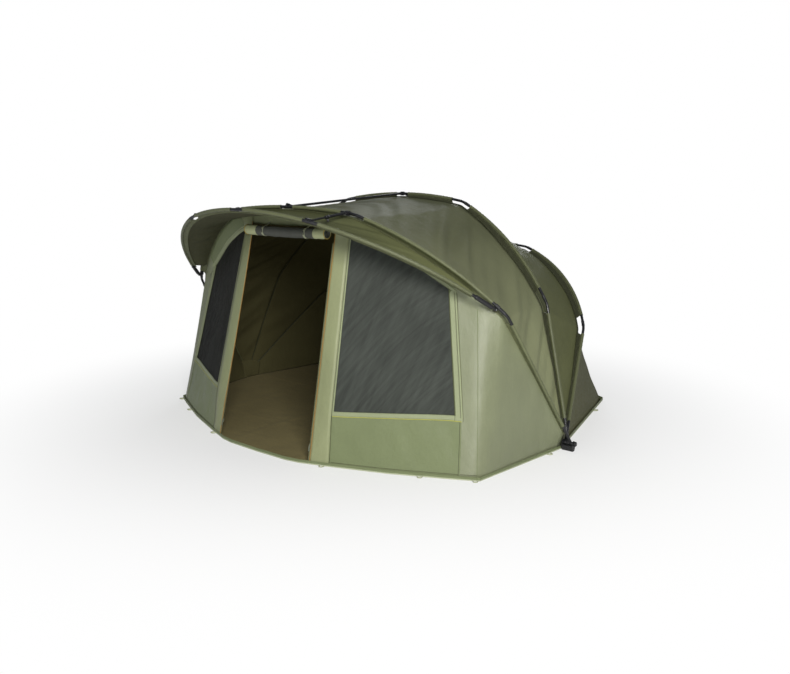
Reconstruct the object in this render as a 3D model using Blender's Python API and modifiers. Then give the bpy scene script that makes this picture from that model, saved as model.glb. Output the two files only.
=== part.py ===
"""Two-man bivvy tent: three hooped ribs fanned from two hubs, a hinged peak and brace bars.

Metres. X points right for someone facing the door, the door faces -Y and Z is up.
The origin is on the ground midway between the two hubs.
"""

import math
from dataclasses import dataclass

import bmesh
import bpy
import numpy as np
from mathutils import Matrix, Vector

# The three ribs: lean forward of upright, and the bends in each rib's own plane, heights from the hubs
FRONT_TILT_DEG = 32.03
FRONT_ELBOW_X = 1.405
FRONT_ELBOW_H = 1.041
FRONT_JOINT_X = 0.54
FRONT_JOINT_H = 1.722
FRONT_CROWN_H = 1.76
FRONT_SHOULDER_RISE = 0.082
MID_TILT_DEG = -9.57
MID_ELBOW_X = 1.296
MID_ELBOW_H = 0.869
MID_JOINT_X = 0.546
MID_JOINT_H = 1.532
MID_CROWN_H = 1.582
MID_SHOULDER_RISE = 0.07
REAR_TILT_DEG = -47.21
REAR_ELBOW_X = 1.322
REAR_ELBOW_H = 0.917
REAR_JOINT_X = 0.541
REAR_JOINT_H = 1.658
REAR_CROWN_H = 1.7
REAR_SHOULDER_RISE = 0.1

# The peak: its bends in its own plane, measured forward from its hinges
PEAK_JOINT_X = 0.53
PEAK_JOINT_G = 0.82
PEAK_CROWN_G = 0.92
PEAK_SIDE_RISE = 0.107

# Fits shared by every piece
GAP = 0.0003
OVERRUN = 0.004
FLATNESS = 0.00001
ROUND_SIDES = 12

# Poles, and the sleeves sewn round them
TUBE_RADIUS = 0.0095
TUBE_SIDES = 8
BEND_REACH = 0.02
SLEEVE_EASE = 0.0004
SLEEVE_WALL = 0.0013
SLEEVE_SIDES = 6
WEB_THICKNESS = 0.0033
SEAM_STRIP = 0.012
STRIP_EASE = 0.0002

# Height of the upright web between a pole and the cloth seam
WEB_LEG = 0.032
WEB_ELBOW = 0.048
WEB_SHOULDER = 0.058
WEB_JOINT = 0.038
WEB_CROWN = 0.03

# Bare stretches of pole, measured along it from an elbow, an upper joint or the crown centre
ELBOW_BARE_LEG = 0.058
ELBOW_BARE_SHOULDER = 0.125
JOINT_BARE_SHOULDER = 0.08
JOINT_BARE_CROWN = 0.09
CROWN_BARE = 0.057
LEG_BARE = 0.1

# Connector sleeves where pole sections plug together
FERRULE_WALL = 0.0018
FERRULE_LENGTH = 0.04
ELBOW_FERRULE = 0.045
JOINT_FERRULE = 0.045
COLLAR_FROM_BEND = 0.086
CLAMP_FROM_JOINT = 0.04

# Hubs
HUB_X = 1.56
HUB_HEIGHT = 0.05
EYE_PITCH = 0.021
EYE_EASE = 0.0008
EYE_RADIUS = 0.0115
NECK_RADIUS = 0.0075
FOOT_LENGTH = 0.06
CHEEK_EASE = 0.002
CHEEK_THICKNESS = 0.005
HUB_TOP_RADIUS = 0.018
HUB_BASE_HALF = 0.013
HUB_FLANK_HALF = 0.022
HUB_FLANK_HEIGHT = 0.028
BOLT_RADIUS = 0.004
BOLT_EASE = 0.0004
BOLT_HEAD_RADIUS = 0.0075
BOLT_HEAD_HEIGHT = 0.005
KNOB_RADIUS = 0.014
KNOB_LOBE = 0.0014
KNOB_LOBES = 6
KNOB_LENGTH = 0.016
KNOB_BORE_WALL = 0.004

# Peak hinge on the front rib
HINGE_STAND_OFF = 0.027
COLLAR_WALL = 0.004
COLLAR_LENGTH = 0.03
EAR_THICKNESS = 0.004
EAR_RADIUS = 0.009
TONGUE_THICKNESS = 0.008
TONGUE_RADIUS = 0.0076
PIN_RADIUS = 0.003
PIN_HEAD_RADIUS = 0.005
PIN_HEAD_HEIGHT = 0.002
SOCKET_RADIUS = 0.0135
SOCKET_START = 0.024
SOCKET_END = 0.15
SOCKET_BORE_DEPTH = 0.02
PEAK_RISE_DEG = 37.4
PEAK_FERRULE = 0.005
PEAK_BARE_SIDE = 0.045
PEAK_BARE_CROWN = 0.052
PEAK_WEB_END = 0.03
PEAK_WEB_SIDE = 0.045

# Brace bars
BAR_RADIUS = 0.008
BAR_SPLIT = 0.009
BAR_TONGUE_REACH = 0.024
GOOSE_LENGTH = 0.042
GOOSE_LEVEL = 0.016
HOOK_CLEARANCE = 0.0007
HOOK_WALL = 0.0052
HOOK_WIDTH = 0.014
HOOK_BACK_DEG = 22.0
HOOK_FRONT_DEG = 78.0
PEAK_BAR_OUTER_RADIUS = 0.009
PEAK_BAR_ROD_RADIUS = 0.0062
PEAK_BAR_OUTER_SHARE = 0.52
PEAK_ROD_PLUG = 0.03
LOCK_KNOB_RADIUS = 0.0075
LOCK_KNOB_LENGTH = 0.016
LOCK_KNOB_SETBACK = 0.02

# Cloth
CLOTH = 0.0022
SEAM_SIDE = 0.0031
SEAM_SET = 0.006
SEAM_HANG = 0.0015
TRIM = 0.0008
PANEL_START = 0.022
ROOF_SAG = 0.018
LEG_SAG = 0.006
REAR_SAG = 0.03
PEAK_SAG = 0.02
WALL_FOOT = 0.003
WALL_INSET = 0.0016
HUB_CLEAR_X = 0.016
HUB_CLEAR_Y = 0.024

# Ground sheet and its hem
SHEET_THICKNESS = 0.002
HEM_HEIGHT = 0.024
HEM_THICKNESS = 0.002
DOOR_SILL_Y = -1.262
DOOR_SIDE_X = 0.426
DOOR_SIDE_Y = -1.215
FRONT_CORNER_X = 1.392
FRONT_CORNER_Y = -0.799
FRONT_BULGE = 0.022
HUB_INSET = 0.048
HUB_INNER_X = HUB_X - HUB_INSET
REAR_CORNER_X = 1.263
REAR_CORNER_Y = 1.228
REAR_TURN_X = 0.62
REAR_TURN_Y = 1.56
REAR_CENTRE_Y = 1.62

# Front wall: where its seams and the window corners lie on the right-hand side
CORNER_SEAM_X = 1.29
DOOR_HEAD_X = 0.388
DOOR_HEAD_Y = -0.909
DOOR_HEAD_Z = 1.367
DOOR_SEAM_X = 0.4
JAMB_FOOT_X = 0.562
JAMB_FOOT_Y = -1.168
WINDOW_IN_SILL = (0.545, -1.114, 0.335)
WINDOW_IN_HEAD = (0.483, -0.868, 1.373)
WINDOW_IN_SEAM_X = 0.5
WINDOW_OUT_FOOT_X = 1.25
WINDOW_OUT_SILL = (1.203, -0.785, 0.358)
WINDOW_OUT_HEAD = (1.063, -0.664, 1.083)
WINDOW_OUT_SEAM_X = 1.115
CORNER_SILL_SHARE = 0.33
CORNER_HEAD_SHARE = 0.93
HEADER_FOOT_Z = 1.428

# Rolled door under the header
ROLL_Y = -0.951
ROLL_Z = 1.388
ROLL_RADIUS = 0.035
ROLL_CORE = 0.009
ROLL_CLOTH = 0.0032
ROLL_TURNS = 2.6
ROLL_TURN_STEPS = 9
ROLL_SAG = 0.006
TIE_X = 0.19
TIE_WIDTH = 0.016
TIE_THICKNESS = 0.002
TIE_EASE = 0.0006
TIE_TAB = 0.015
TIE_PINCH = 0.9

# Door zips
ZIP_TAPE = 0.013
ZIP_COIL = 0.0026
ZIP_START_Z = 0.03
ZIP_TOP_Z = 1.32
SLIDER_LENGTH = 0.022
SLIDER_WIDTH = 0.012
SLIDER_WALL = 0.0016
SLIDER_HEIGHT = 0.07
PULL_LENGTH = 0.034
PULL_WIDTH = 0.011
PULL_THICKNESS = 0.0016

# Peg loops round the foot of the walls
LOOP_REACH = 0.034
LOOP_HALF = 0.016
LOOP_RADIUS = 0.0024
LOOP_SET = 0.0004
# Edge of the ground plan, counted from the door's middle, and share(s) of its length
LOOP_SEATS = ((3, 0.6), (5, 0.5), (6, 0.85), (7, 0.82), (8, 0.75), (9, 0.4), (10, 0.5))

# Counts
LEG_STEPS = 2
SHOULDER_STEPS = 5
CROWN_STEPS = 3
ROOF_COLUMNS = 4
PEAK_COLUMNS = 4
REAR_ROWS = 4
SIDE_ROWS = 3

# Places along the rolled door from its middle, and the share of its full radius at each
TIE_REACH = TIE_WIDTH * 0.75
ROLL_PLACES = (0.0, 0.1, TIE_X - TIE_REACH, TIE_X + TIE_REACH, 0.27, 0.362)
ROLL_SHARES = (0.96, 1.0, TIE_PINCH, TIE_PINCH, 1.0, 0.92)

# Sill of the door: shares of its half width where it turns, and how sharply it curves back
SILL_SHARES = (0, 0.6, 0.85)
SILL_POWER = 4

# Shares of the peak panel's sag at its ends, and of the rear wall's sideways lean
PEAK_SAG_END_SHARE = 0.4
REAR_LEAN_SHARE = 0.3

# Length of the thick socket end that stays free of cloth, and how high the header's foot lies
SOCKET_FREE_SHARE = 1.2
HEADER_SHARE = 0.3

LOOKS = {
    "pole": ((0.013, 0.013, 0.016), 0.34, 0.35),
    "moulding": ((0.015, 0.015, 0.017), 0.5, 0.0),
    "steel": ((0.45, 0.45, 0.44), 0.3, 1.0),
    "roof": ((0.095, 0.1, 0.05), 0.75, 0.0),
    "wall": ((0.25, 0.28, 0.17), 0.75, 0.0),
    "web": ((0.06, 0.065, 0.032), 0.8, 0.0),
    "mesh": ((0.03, 0.034, 0.032), 0.9, 0.0),
    "ground": ((0.1, 0.085, 0.035), 0.8, 0.0),
    "webbing": ((0.3, 0.33, 0.2), 0.8, 0.0),
    "zip": ((0.12, 0.125, 0.06), 0.6, 0.0),
}

TENT = bpy.data.collections.new("bivvy_tent")


@dataclass(frozen=True)
class Rib:
    """One hoop, by the places of its bends in its own plane: x sideways, h up from the hub axis."""

    tilt_deg: float
    elbow_x: float
    elbow_h: float
    joint_x: float
    joint_h: float
    crown_h: float
    shoulder_rise: float
    foot_shift: float
    base_y: float = 0.0
    base_z: float = HUB_HEIGHT


FRONT = Rib(
    FRONT_TILT_DEG, FRONT_ELBOW_X, FRONT_ELBOW_H, FRONT_JOINT_X, FRONT_JOINT_H, FRONT_CROWN_H,
    FRONT_SHOULDER_RISE, EYE_PITCH,
)
MID = Rib(
    MID_TILT_DEG, MID_ELBOW_X, MID_ELBOW_H, MID_JOINT_X, MID_JOINT_H, MID_CROWN_H,
    MID_SHOULDER_RISE, 0.0,
)
REAR = Rib(
    REAR_TILT_DEG, REAR_ELBOW_X, REAR_ELBOW_H, REAR_JOINT_X, REAR_JOINT_H, REAR_CROWN_H,
    REAR_SHOULDER_RISE, -EYE_PITCH,
)


def arc(start, end, rise, shares):
    """Points of a circle arc from start to end that bows out by rise, on the side away from the hubs."""
    start, end = np.array(start), np.array(end)
    chord = np.linalg.norm(end - start)
    along = (end - start) / chord
    out = np.array([along[1], -along[0]])
    half = 2 * math.atan(2 * rise / chord)
    radius = chord / 2 / math.sin(half)
    points = []
    for share in shares:
        angle = (2 * share - 1) * half
        sideways = chord / 2 + radius * math.sin(angle)
        outward = radius * (math.cos(angle) - math.cos(half))
        points.append(start + along * sideways + out * outward)
    return points


def eased(before, corner, after):
    """The middle point of a rounded corner."""
    return (np.array(before) + 2 * np.array(corner) + np.array(after)) / 4


def rib_half(rib):
    """The right half of a hoop from its foot to the crown centre, and the places of its two bends."""
    hub = np.array([HUB_X + rib.foot_shift, 0.0])
    elbow = np.array([rib.elbow_x, rib.elbow_h])
    joint = np.array([rib.joint_x, rib.joint_h])
    leg = (elbow - hub) / np.linalg.norm(elbow - hub)
    foot = hub + leg * FOOT_LENGTH
    leg_end = elbow - leg * BEND_REACH
    span = np.linalg.norm(joint - elbow)
    first = BEND_REACH / span
    shoulder = arc(elbow, joint, rib.shoulder_rise, np.linspace(first, 1 - first, SHOULDER_STEPS + 1))
    crown_rise = rib.crown_h - rib.joint_h
    mirrored = (-rib.joint_x, rib.joint_h)
    second = BEND_REACH / (2 * rib.joint_x)
    crown = arc(joint, mirrored, crown_rise, np.linspace(second, 0.5, CROWN_STEPS + 1))
    points = [foot + (leg_end - foot) * share for share in np.linspace(0, 1, LEG_STEPS + 1)]
    points += [eased(leg_end, elbow, shoulder[0])]
    points += shoulder
    points += [eased(shoulder[-1], joint, crown[0])]
    points += crown
    return np.array(points), LEG_STEPS + 1, LEG_STEPS + SHOULDER_STEPS + 3


class Line:
    """A hoop's centre line as a polyline in a tilted plane, mirrored about x = 0."""

    def __init__(self, half, tilt_deg, base_y, base_z, bends, webs):
        self.tilt = math.radians(tilt_deg)
        self.base = Vector((0, base_y, base_z))
        self.up = Vector((0, -math.sin(self.tilt), math.cos(self.tilt)))
        self.front = Vector((0, -math.cos(self.tilt), -math.sin(self.tilt)))
        other = half[::-1][1:] * np.array([-1, 1])
        self.points = np.vstack([half, other])
        steps = np.linalg.norm(np.diff(self.points, axis=0), axis=1)
        self.s = np.concatenate([[0], np.cumsum(steps)])
        self.length = self.s[-1]
        self.crown = self.length / 2
        self.bends = [self.s[bend] for bend in bends]
        self.webs = webs

    def stretch(self, start, end):
        """Arc places from start to end, with every corner of the polyline between them."""
        inner = [s for s in self.s if start + GAP < s < end - GAP]
        return [start, *inner, end]

    def flat(self, s):
        """The point and the inward normal at an arc place, in the plane."""
        x = np.interp(s, self.s, self.points[:, 0])
        h = np.interp(s, self.s, self.points[:, 1])
        here = int(np.argmin(np.abs(self.s - s)))
        if abs(self.s[here] - s) < GAP / 10 and 0 < here < len(self.s) - 1:
            along = self.points[here + 1] - self.points[here - 1]
            ahead = self.points[here + 1] - self.points[here]
            behind = self.points[here] - self.points[here - 1]
            along = ahead / np.linalg.norm(ahead) + behind / np.linalg.norm(behind)
        else:
            after = min(max(int(np.searchsorted(self.s, s)), 1), len(self.s) - 1)
            along = self.points[after] - self.points[after - 1]
        along = along / np.linalg.norm(along)
        return np.array([x, h]), np.array([-along[1], along[0]]), along

    def lift(self, flat):
        """A plane point as a point of space."""
        return self.base + Vector((flat[0], 0, 0)) + self.up * flat[1]

    def turn(self, flat):
        """A plane direction as a direction of space."""
        return Vector((flat[0], 0, 0)) + self.up * flat[1]

    def place(self, s, inward=0.0, side=0.0):
        """A point beside the pole: inward in the hoop's plane, side towards its front."""
        point, normal, _ = self.flat(s)
        return self.lift(point + normal * inward) + self.front * side

    def tangent(self, s):
        """Direction of the pole at an arc place."""
        return self.turn(self.flat(s)[2]).normalized()

    def web(self, s):
        """Distance from the pole's axis to the foot of the web."""
        places, heights = self.webs
        return float(np.interp(min(s, self.length - s), places, heights))

    def seam(self, s, side, inward=-SEAM_SET):
        """A point of a panel's edge, level with the foot of the web."""
        return self.place(s, self.web(s) + inward, side)

    def at_x(self, x):
        """Arc place on the right half, above the elbow, where the pole stands at x."""
        half = len(self.points) // 2
        xs = self.points[: half + 1, 0][::-1]
        return float(np.interp(x, xs, self.s[: half + 1][::-1]))


def rib_line(rib):
    """A rib's centre line with the web heights along it."""
    half, elbow, joint = rib_half(rib)
    line = Line(half, rib.tilt_deg, rib.base_y, rib.base_z, (elbow, joint), None)
    low, high = line.bends
    places = [0, low * 0.5, low, (low + high) / 2, high, line.crown]
    line.webs = (places, [WEB_LEG, WEB_LEG, WEB_ELBOW, WEB_SHOULDER, WEB_JOINT, WEB_CROWN])
    return line


def hinge_place(line):
    """Arc place of the peak hinge's collar on the front rib."""
    return line.bends[0] + COLLAR_FROM_BEND


def peak_line(front):
    """The peak hoop, with its corners at the same shares of its length as the front rib's."""
    start = hinge_place(front)
    pivot = front.place(start, side=HINGE_STAND_OFF)
    end = (pivot.x, 0.0)
    joint = (PEAK_JOINT_X, PEAK_JOINT_G)
    far = (-PEAK_JOINT_X, PEAK_JOINT_G)
    fine = np.linspace(0, 1, 41)
    side = arc(end, joint, PEAK_SIDE_RISE, fine)
    crown = arc(joint, far, PEAK_CROWN_G - PEAK_JOINT_G, fine[: len(fine) // 2 + 1])
    path = np.array(side + crown[1:])
    run = np.concatenate([[0], np.cumsum(np.linalg.norm(np.diff(path, axis=0), axis=1))])
    shares = (np.array(front.stretch(start, front.crown)) - start) / (front.crown - start)
    xs = np.interp(shares * run[-1], run, path[:, 0])
    gs = np.interp(shares * run[-1], run, path[:, 1])
    half = np.column_stack([xs, gs])
    line = Line(half, 90 - PEAK_RISE_DEG, pivot.y, pivot.z, (0, 0), None)
    high = line.bends[1] = line.at_x(PEAK_JOINT_X)
    places = [0, high / 2, high, line.crown]
    line.webs = (places, [PEAK_WEB_END, PEAK_WEB_SIDE, WEB_JOINT, WEB_CROWN])
    return line


def finish(name, look):
    """A Principled material for one piece."""
    colour, roughness, metallic = LOOKS[look]
    material = bpy.data.materials.new(name)
    material.use_nodes = True
    shader = material.node_tree.nodes["Principled BSDF"]
    shader.inputs["Base Color"].default_value = (*colour, 1)
    shader.inputs["Roughness"].default_value = roughness
    shader.inputs["Metallic"].default_value = metallic
    material.diffuse_color = (*colour, 1)
    return material


def keep(name, data, look, origin=(0, 0, 0)):
    """Add a finished piece to the tent, with its origin on the given point."""
    piece = bpy.data.objects.new(name, data)
    data.transform(Matrix.Translation(-Vector(origin)))
    piece.location = origin
    data.materials.append(finish(name, look))
    TENT.objects.link(piece)
    return piece


def mesh_from(points, faces):
    """A mesh from points and faces, with its normals turned outwards."""
    mesh = bpy.data.meshes.new("solid")
    mesh.from_pydata([tuple(point) for point in points], [], faces)
    form = bmesh.new()
    form.from_mesh(mesh)
    bmesh.ops.recalc_face_normals(form, faces=form.faces)
    form.to_mesh(mesh)
    form.free()
    return mesh


def group(meshes):
    """Several separate solids as one mesh."""
    form = bmesh.new()
    for mesh in meshes:
        form.from_mesh(mesh)
    joined = bpy.data.meshes.new("group")
    form.to_mesh(joined)
    form.free()
    return joined


def mirrored(mesh):
    """The same solid on the other side of x = 0."""
    form = bmesh.new()
    form.from_mesh(mesh)
    bmesh.ops.scale(form, vec=(-1, 1, 1), verts=form.verts)
    bmesh.ops.reverse_faces(form, faces=form.faces)
    copy = bpy.data.meshes.new("mirrored")
    form.to_mesh(copy)
    form.free()
    return copy


def both_sides(name, mesh, look, origin=(0, 0, 0)):
    """Add a piece of the right-hand side and its mirror image on the left."""
    x, y, z = origin
    keep(f"{name}_R", rounded(mesh.copy()), look, (x, y, z))
    keep(f"{name}_L", rounded(mirrored(mesh)), look, (-x, y, z))


def rounded(mesh, angle_deg=35):
    """Shade the round faces of a mesh smooth."""
    mesh.shade_smooth()
    mesh.set_sharp_from_angle(angle=math.radians(angle_deg))
    return mesh


def axes(origin, along, up):
    """A matrix whose local Z runs along a direction and whose local Y leans towards up."""
    z = Vector(along).normalized()
    x = Vector(up).cross(z).normalized()
    y = z.cross(x)
    matrix = Matrix((x, y, z)).transposed().to_4x4()
    return Matrix.Translation(Vector(origin)) @ matrix


def cylinder(start, end, radius, sides=ROUND_SIDES, up=(0, 0, 1)):
    """A solid cylinder between two points."""
    start, end = Vector(start), Vector(end)
    form = bmesh.new()
    length = (end - start).length
    up = Vector(up)
    if abs((end - start).normalized().dot(up)) > 0.98:
        up = Vector((0, 1, 0))
    matrix = axes((start + end) / 2, end - start, up)
    bmesh.ops.create_cone(
        form, cap_ends=True, segments=sides, radius1=radius, radius2=radius, depth=length, matrix=matrix
    )
    mesh = bpy.data.meshes.new("cylinder")
    form.to_mesh(mesh)
    form.free()
    return mesh


def prism(outline, low, high, matrix=Matrix()):
    """A flat outline in local X and Y, drawn out along local Z from low to high."""
    count = len(outline)
    points = [matrix @ Vector((x, y, low)) for x, y in outline]
    points += [matrix @ Vector((x, y, high)) for x, y in outline]
    faces = [tuple(range(count)), tuple(range(count, 2 * count))]
    faces += [(i, (i + 1) % count, count + (i + 1) % count, count + i) for i in range(count)]
    return mesh_from(points, faces)


def faceted(mesh, every=False):
    """The mesh with its twisted faces, or every face, in triangles."""
    form = bmesh.new()
    form.from_mesh(mesh)
    form.normal_update()
    twisted = []
    for face in form.faces:
        centre = face.calc_center_median()
        if every or any(abs((corner.co - centre).dot(face.normal)) > FLATNESS for corner in face.verts):
            twisted.append(face)
    bmesh.ops.triangulate(form, faces=twisted)
    form.to_mesh(mesh)
    form.free()
    return mesh


def combine(parts, cuts=()):
    """Union of solids, less the cuts, as one mesh."""
    objects = [bpy.data.objects.new("work", faceted(mesh)) for mesh in (*parts, *cuts)]
    base = objects[0]
    for work in objects:
        bpy.context.scene.collection.objects.link(work)
    for index, work in enumerate(objects[1:], start=1):
        change = base.modifiers.new("change", "BOOLEAN")
        change.operation = "UNION" if index < len(parts) else "DIFFERENCE"
        change.object = work
    bpy.context.view_layer.update()
    evaluated = base.evaluated_get(bpy.context.evaluated_depsgraph_get())
    mesh = bpy.data.meshes.new_from_object(evaluated)
    for work in objects:
        bpy.data.objects.remove(work)
    return mesh


def rod_curve(name, points, radius):
    """A round bar along points, as a curve with filled ends."""
    curve = bpy.data.curves.new(name, "CURVE")
    curve.dimensions = "3D"
    curve.bevel_depth = radius
    curve.bevel_resolution = (TUBE_SIDES - 4) // 2
    curve.use_fill_caps = True
    spline = curve.splines.new("POLY")
    spline.points.add(len(points) - 1)
    for place, point in zip(spline.points, points):
        place.co = (*point, 1)
    return curve


def rod_mesh(points, radius):
    """A round bar along points, as a closed mesh that can be cut and joined."""
    work = bpy.data.objects.new("rod", rod_curve("rod", points, radius))
    bpy.context.scene.collection.objects.link(work)
    bpy.context.view_layer.update()
    mesh = bpy.data.meshes.new_from_object(work.evaluated_get(bpy.context.evaluated_depsgraph_get()))
    bpy.data.objects.remove(work)
    form = bmesh.new()
    form.from_mesh(mesh)
    bmesh.ops.remove_doubles(form, verts=form.verts, dist=GAP / 3)
    bmesh.ops.recalc_face_normals(form, faces=form.faces)
    form.to_mesh(mesh)
    form.free()
    return mesh


def run(line, start, end):
    """Points of a pole section along a hoop."""
    return [line.place(s) for s in line.stretch(start, end)]


def socketed(line, start, end, parts=(), cuts=()):
    """A pole section whose far end carries the connector sleeve for the next one."""
    half = FERRULE_LENGTH / 2
    inner = (TUBE_RADIUS + GAP) / math.cos(math.pi / TUBE_SIDES)
    tube = rod_mesh(run(line, start, end), TUBE_RADIUS)
    outer = inner + FERRULE_WALL
    sleeve_piece = cylinder(line.place(end - half), line.place(end + half), outer, TUBE_SIDES)
    bore = cylinder(line.place(end), line.place(end + half + OVERRUN), inner, TUBE_SIDES)
    return combine([tube, sleeve_piece, *parts], [bore, *cuts])


def both(line, spans):
    """The same spans on both halves of a hoop."""
    return list(spans) + [(line.length - end, line.length - start) for start, end in spans]


def ring_angles(sides):
    """Angles of a ring's corners, with one short side at the foot where the web hangs."""
    outer = TUBE_RADIUS + SLEEVE_EASE + SLEEVE_WALL
    notch = math.asin(WEB_THICKNESS / 2 / outer)
    return np.linspace(math.pi + notch, 3 * math.pi - notch, sides + 1)


def sleeve_section(line, s):
    """Corners of the cloth round the pole and of the web under it, at one arc place."""
    point, normal, _ = line.flat(s)
    angles = ring_angles(SLEEVE_SIDES)
    flat = math.cos((angles[1] - angles[0]) / 2)
    inner = (TUBE_RADIUS + SLEEVE_EASE) / flat
    outer = inner + SLEEVE_WALL
    corners = []
    for radius in (inner, outer):
        for angle in angles:
            across = math.sin(angle) * radius
            down = -math.cos(angle) * radius
            corners.append(line.lift(point + normal * down) + line.front * across)
    half = WEB_THICKNESS / 2
    foot = line.web(s)
    corners.append(line.lift(point + normal * foot) + line.front * -half)
    corners.append(line.lift(point + normal * foot) + line.front * half)
    return corners


def sleeve_quads():
    """The cap faces of a sleeve section, as corner numbers."""
    count = SLEEVE_SIDES + 1
    quads = [(i, i + 1, count + i + 1, count + i) for i in range(SLEEVE_SIDES)]
    quads.append((count - 1, 0, count, 2 * count - 1))
    quads.append((2 * count - 1, count, 2 * count, 2 * count + 1))
    return quads


def swept(sections, quads):
    """A solid through like sections: caps from the quads, sides from the edges that only one quad has."""
    count = len(sections[0])
    seen = {}
    for quad in quads:
        for a, b in zip(quad, quad[1:] + quad[:1]):
            seen[frozenset((a, b))] = None if frozenset((a, b)) in seen else (a, b)
    rims = [edge for edge in seen.values() if edge]
    points = [corner for section in sections for corner in section]
    last = (len(sections) - 1) * count
    faces = [quad[::-1] for quad in quads] + [tuple(last + i for i in quad) for quad in quads]
    for step in range(len(sections) - 1):
        low, high = step * count, (step + 1) * count
        faces += [(low + a, low + b, high + b, high + a) for a, b in rims]
    return mesh_from(points, faces)


def strip_section(line, s):
    """The narrow sewn strip that carries the seam where the web is cut away."""
    half = WEB_THICKNESS / 2 - STRIP_EASE
    foot = line.web(s) - STRIP_EASE
    levels = ((foot - SEAM_STRIP, half), (foot - SEAM_STRIP, -half), (foot, -half), (foot, half))
    return [line.place(s, inward, side) for inward, side in levels]


def sleeve(name, line, covered, bare, origin=(0, 0, 0)):
    """The pole sleeve with its web: full over the covered spans, a sewn strip over the bare ones."""
    full = [[sleeve_section(line, s) for s in line.stretch(start, end)] for start, end in covered]
    strips = [[strip_section(line, s) for s in line.stretch(start, end)] for start, end in bare]
    webs = group([swept(sections, sleeve_quads()) for sections in full])
    links = group([swept(sections, [(0, 1, 2, 3)]) for sections in strips])
    return keep(name, rounded(combine([webs, links])), "web", origin)


def sheet(name, rows, look, thickness=CLOTH, skip=(), origin=(0, 0, 0)):
    """Cloth over a grid of points, with the cells in skip left open."""
    columns = len(rows[0])
    faces = []
    for row in range(len(rows) - 1):
        for column in range(columns - 1):
            if (row, column) not in skip:
                corner = row * columns + column
                faces.append((corner, corner + 1, corner + columns + 1, corner + columns))
    points = [point for row in rows for point in row]
    used = sorted({corner for face in faces for corner in face})
    number = {corner: index for index, corner in enumerate(used)}
    faces = [tuple(number[corner] for corner in face) for face in faces]
    mesh = bpy.data.meshes.new(name)
    mesh.from_pydata([tuple(points[corner]) for corner in used], [], faces)
    mesh.shade_smooth()
    piece = keep(name, mesh, look, origin)
    wall = piece.modifiers.new("cloth", "SOLIDIFY")
    wall.thickness = thickness
    wall.offset = 0
    return piece


def sheet_sides(name, rows, look, skip=()):
    """The same cloth on each side of x = 0."""
    sheet(f"{name}_R", rows, look, skip=skip)
    turned = [[Vector((-point.x, point.y, point.z)) for point in row] for row in rows]
    sheet(f"{name}_L", turned, look, skip=skip)


def baked(piece):
    """The mesh of a piece with its modifiers applied; the piece itself is taken away."""
    bpy.context.view_layer.update()
    mesh = bpy.data.meshes.new_from_object(piece.evaluated_get(bpy.context.evaluated_depsgraph_get()))
    mesh.materials.clear()
    bpy.data.objects.remove(piece)
    return mesh


def between(edge_a, edge_b, columns, sags, down):
    """Rows of points from one edge to the other, hollowed by a sag that fades at both edges."""
    rows = []
    for a, b, sag, way in zip(edge_a, edge_b, sags, down):
        row = []
        for share in np.linspace(0, 1, columns + 1):
            row.append(a.lerp(b, share) + way * sag * math.sin(math.pi * share))
        rows.append(row)
    return rows


def inward_way(line, other, s, t):
    """Direction into the tent between two hoops."""
    way = line.turn(line.flat(s)[1]) + other.turn(other.flat(t)[1])
    return way.normalized()


def sag_at(s, line, crown_sag):
    """Sag of a roof panel: small on the legs, full over the shoulders and the crown."""
    low, high = line.bends
    near = min(s, line.length - s)
    return float(np.interp(near, [0, low, high], [LEG_SAG / 2, LEG_SAG, crown_sag]))


def roof(name, ahead, behind, crown_sag):
    """Roof panel from the rear face of one hoop's web to the front face of the next."""
    places = ahead.stretch(PANEL_START, ahead.length - PANEL_START)
    others = behind.stretch(PANEL_START, behind.length - PANEL_START)
    edge_a = [ahead.seam(s, -SEAM_SIDE) for s in places]
    edge_b = [behind.seam(s, SEAM_SIDE) for s in others]
    sags = [sag_at(s, ahead, crown_sag) for s in places]
    ways = [inward_way(ahead, behind, s, t) for s, t in zip(places, others)]
    return sheet(name, between(edge_a, edge_b, ROOF_COLUMNS, sags, ways), "roof")


def rear_ground(share_leg, share_top):
    """Foot of the rear wall: hub to corner along the leg, corner to the middle over the top."""
    hub = Vector((HUB_INNER_X - HUB_CLEAR_X, HUB_CLEAR_Y, 0))
    corner = Vector((REAR_CORNER_X, REAR_CORNER_Y, 0))
    turn = Vector((REAR_TURN_X, REAR_TURN_Y, 0))
    middle = Vector((0, REAR_CENTRE_Y, 0))
    if share_top <= 0:
        point = hub.lerp(corner, share_leg)
    elif share_top < 0.5:
        point = corner.lerp(turn, share_top * 2)
    else:
        point = turn.lerp(middle, share_top * 2 - 1)
    inner = point - point.normalized() * WALL_INSET
    return Vector((inner.x, inner.y, WALL_FOOT))


def rear_wall(line):
    """The wall behind the rear rib, from its web down to the ground line."""
    rows = []
    low = line.bends[0]
    for s in line.stretch(PANEL_START, line.length - PANEL_START):
        near = min(s, line.length - s)
        share_leg = min(near / low, 1)
        share_top = max((near - low) / (line.crown - low), 0)
        foot = rear_ground(share_leg, share_top)
        if s > line.crown:
            foot.x = -foot.x
        top = line.seam(s, -SEAM_SIDE)
        way = Vector((-top.x * REAR_LEAN_SHARE, -1, 0)).normalized()
        sag = REAR_SAG * min(share_leg, 1) ** 2
        rows.append([
            top.lerp(foot, share) + way * sag * math.sin(math.pi * share)
            for share in np.linspace(0, 1, REAR_ROWS + 1)
        ])
    return sheet("rear_wall", rows, "roof")


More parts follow.
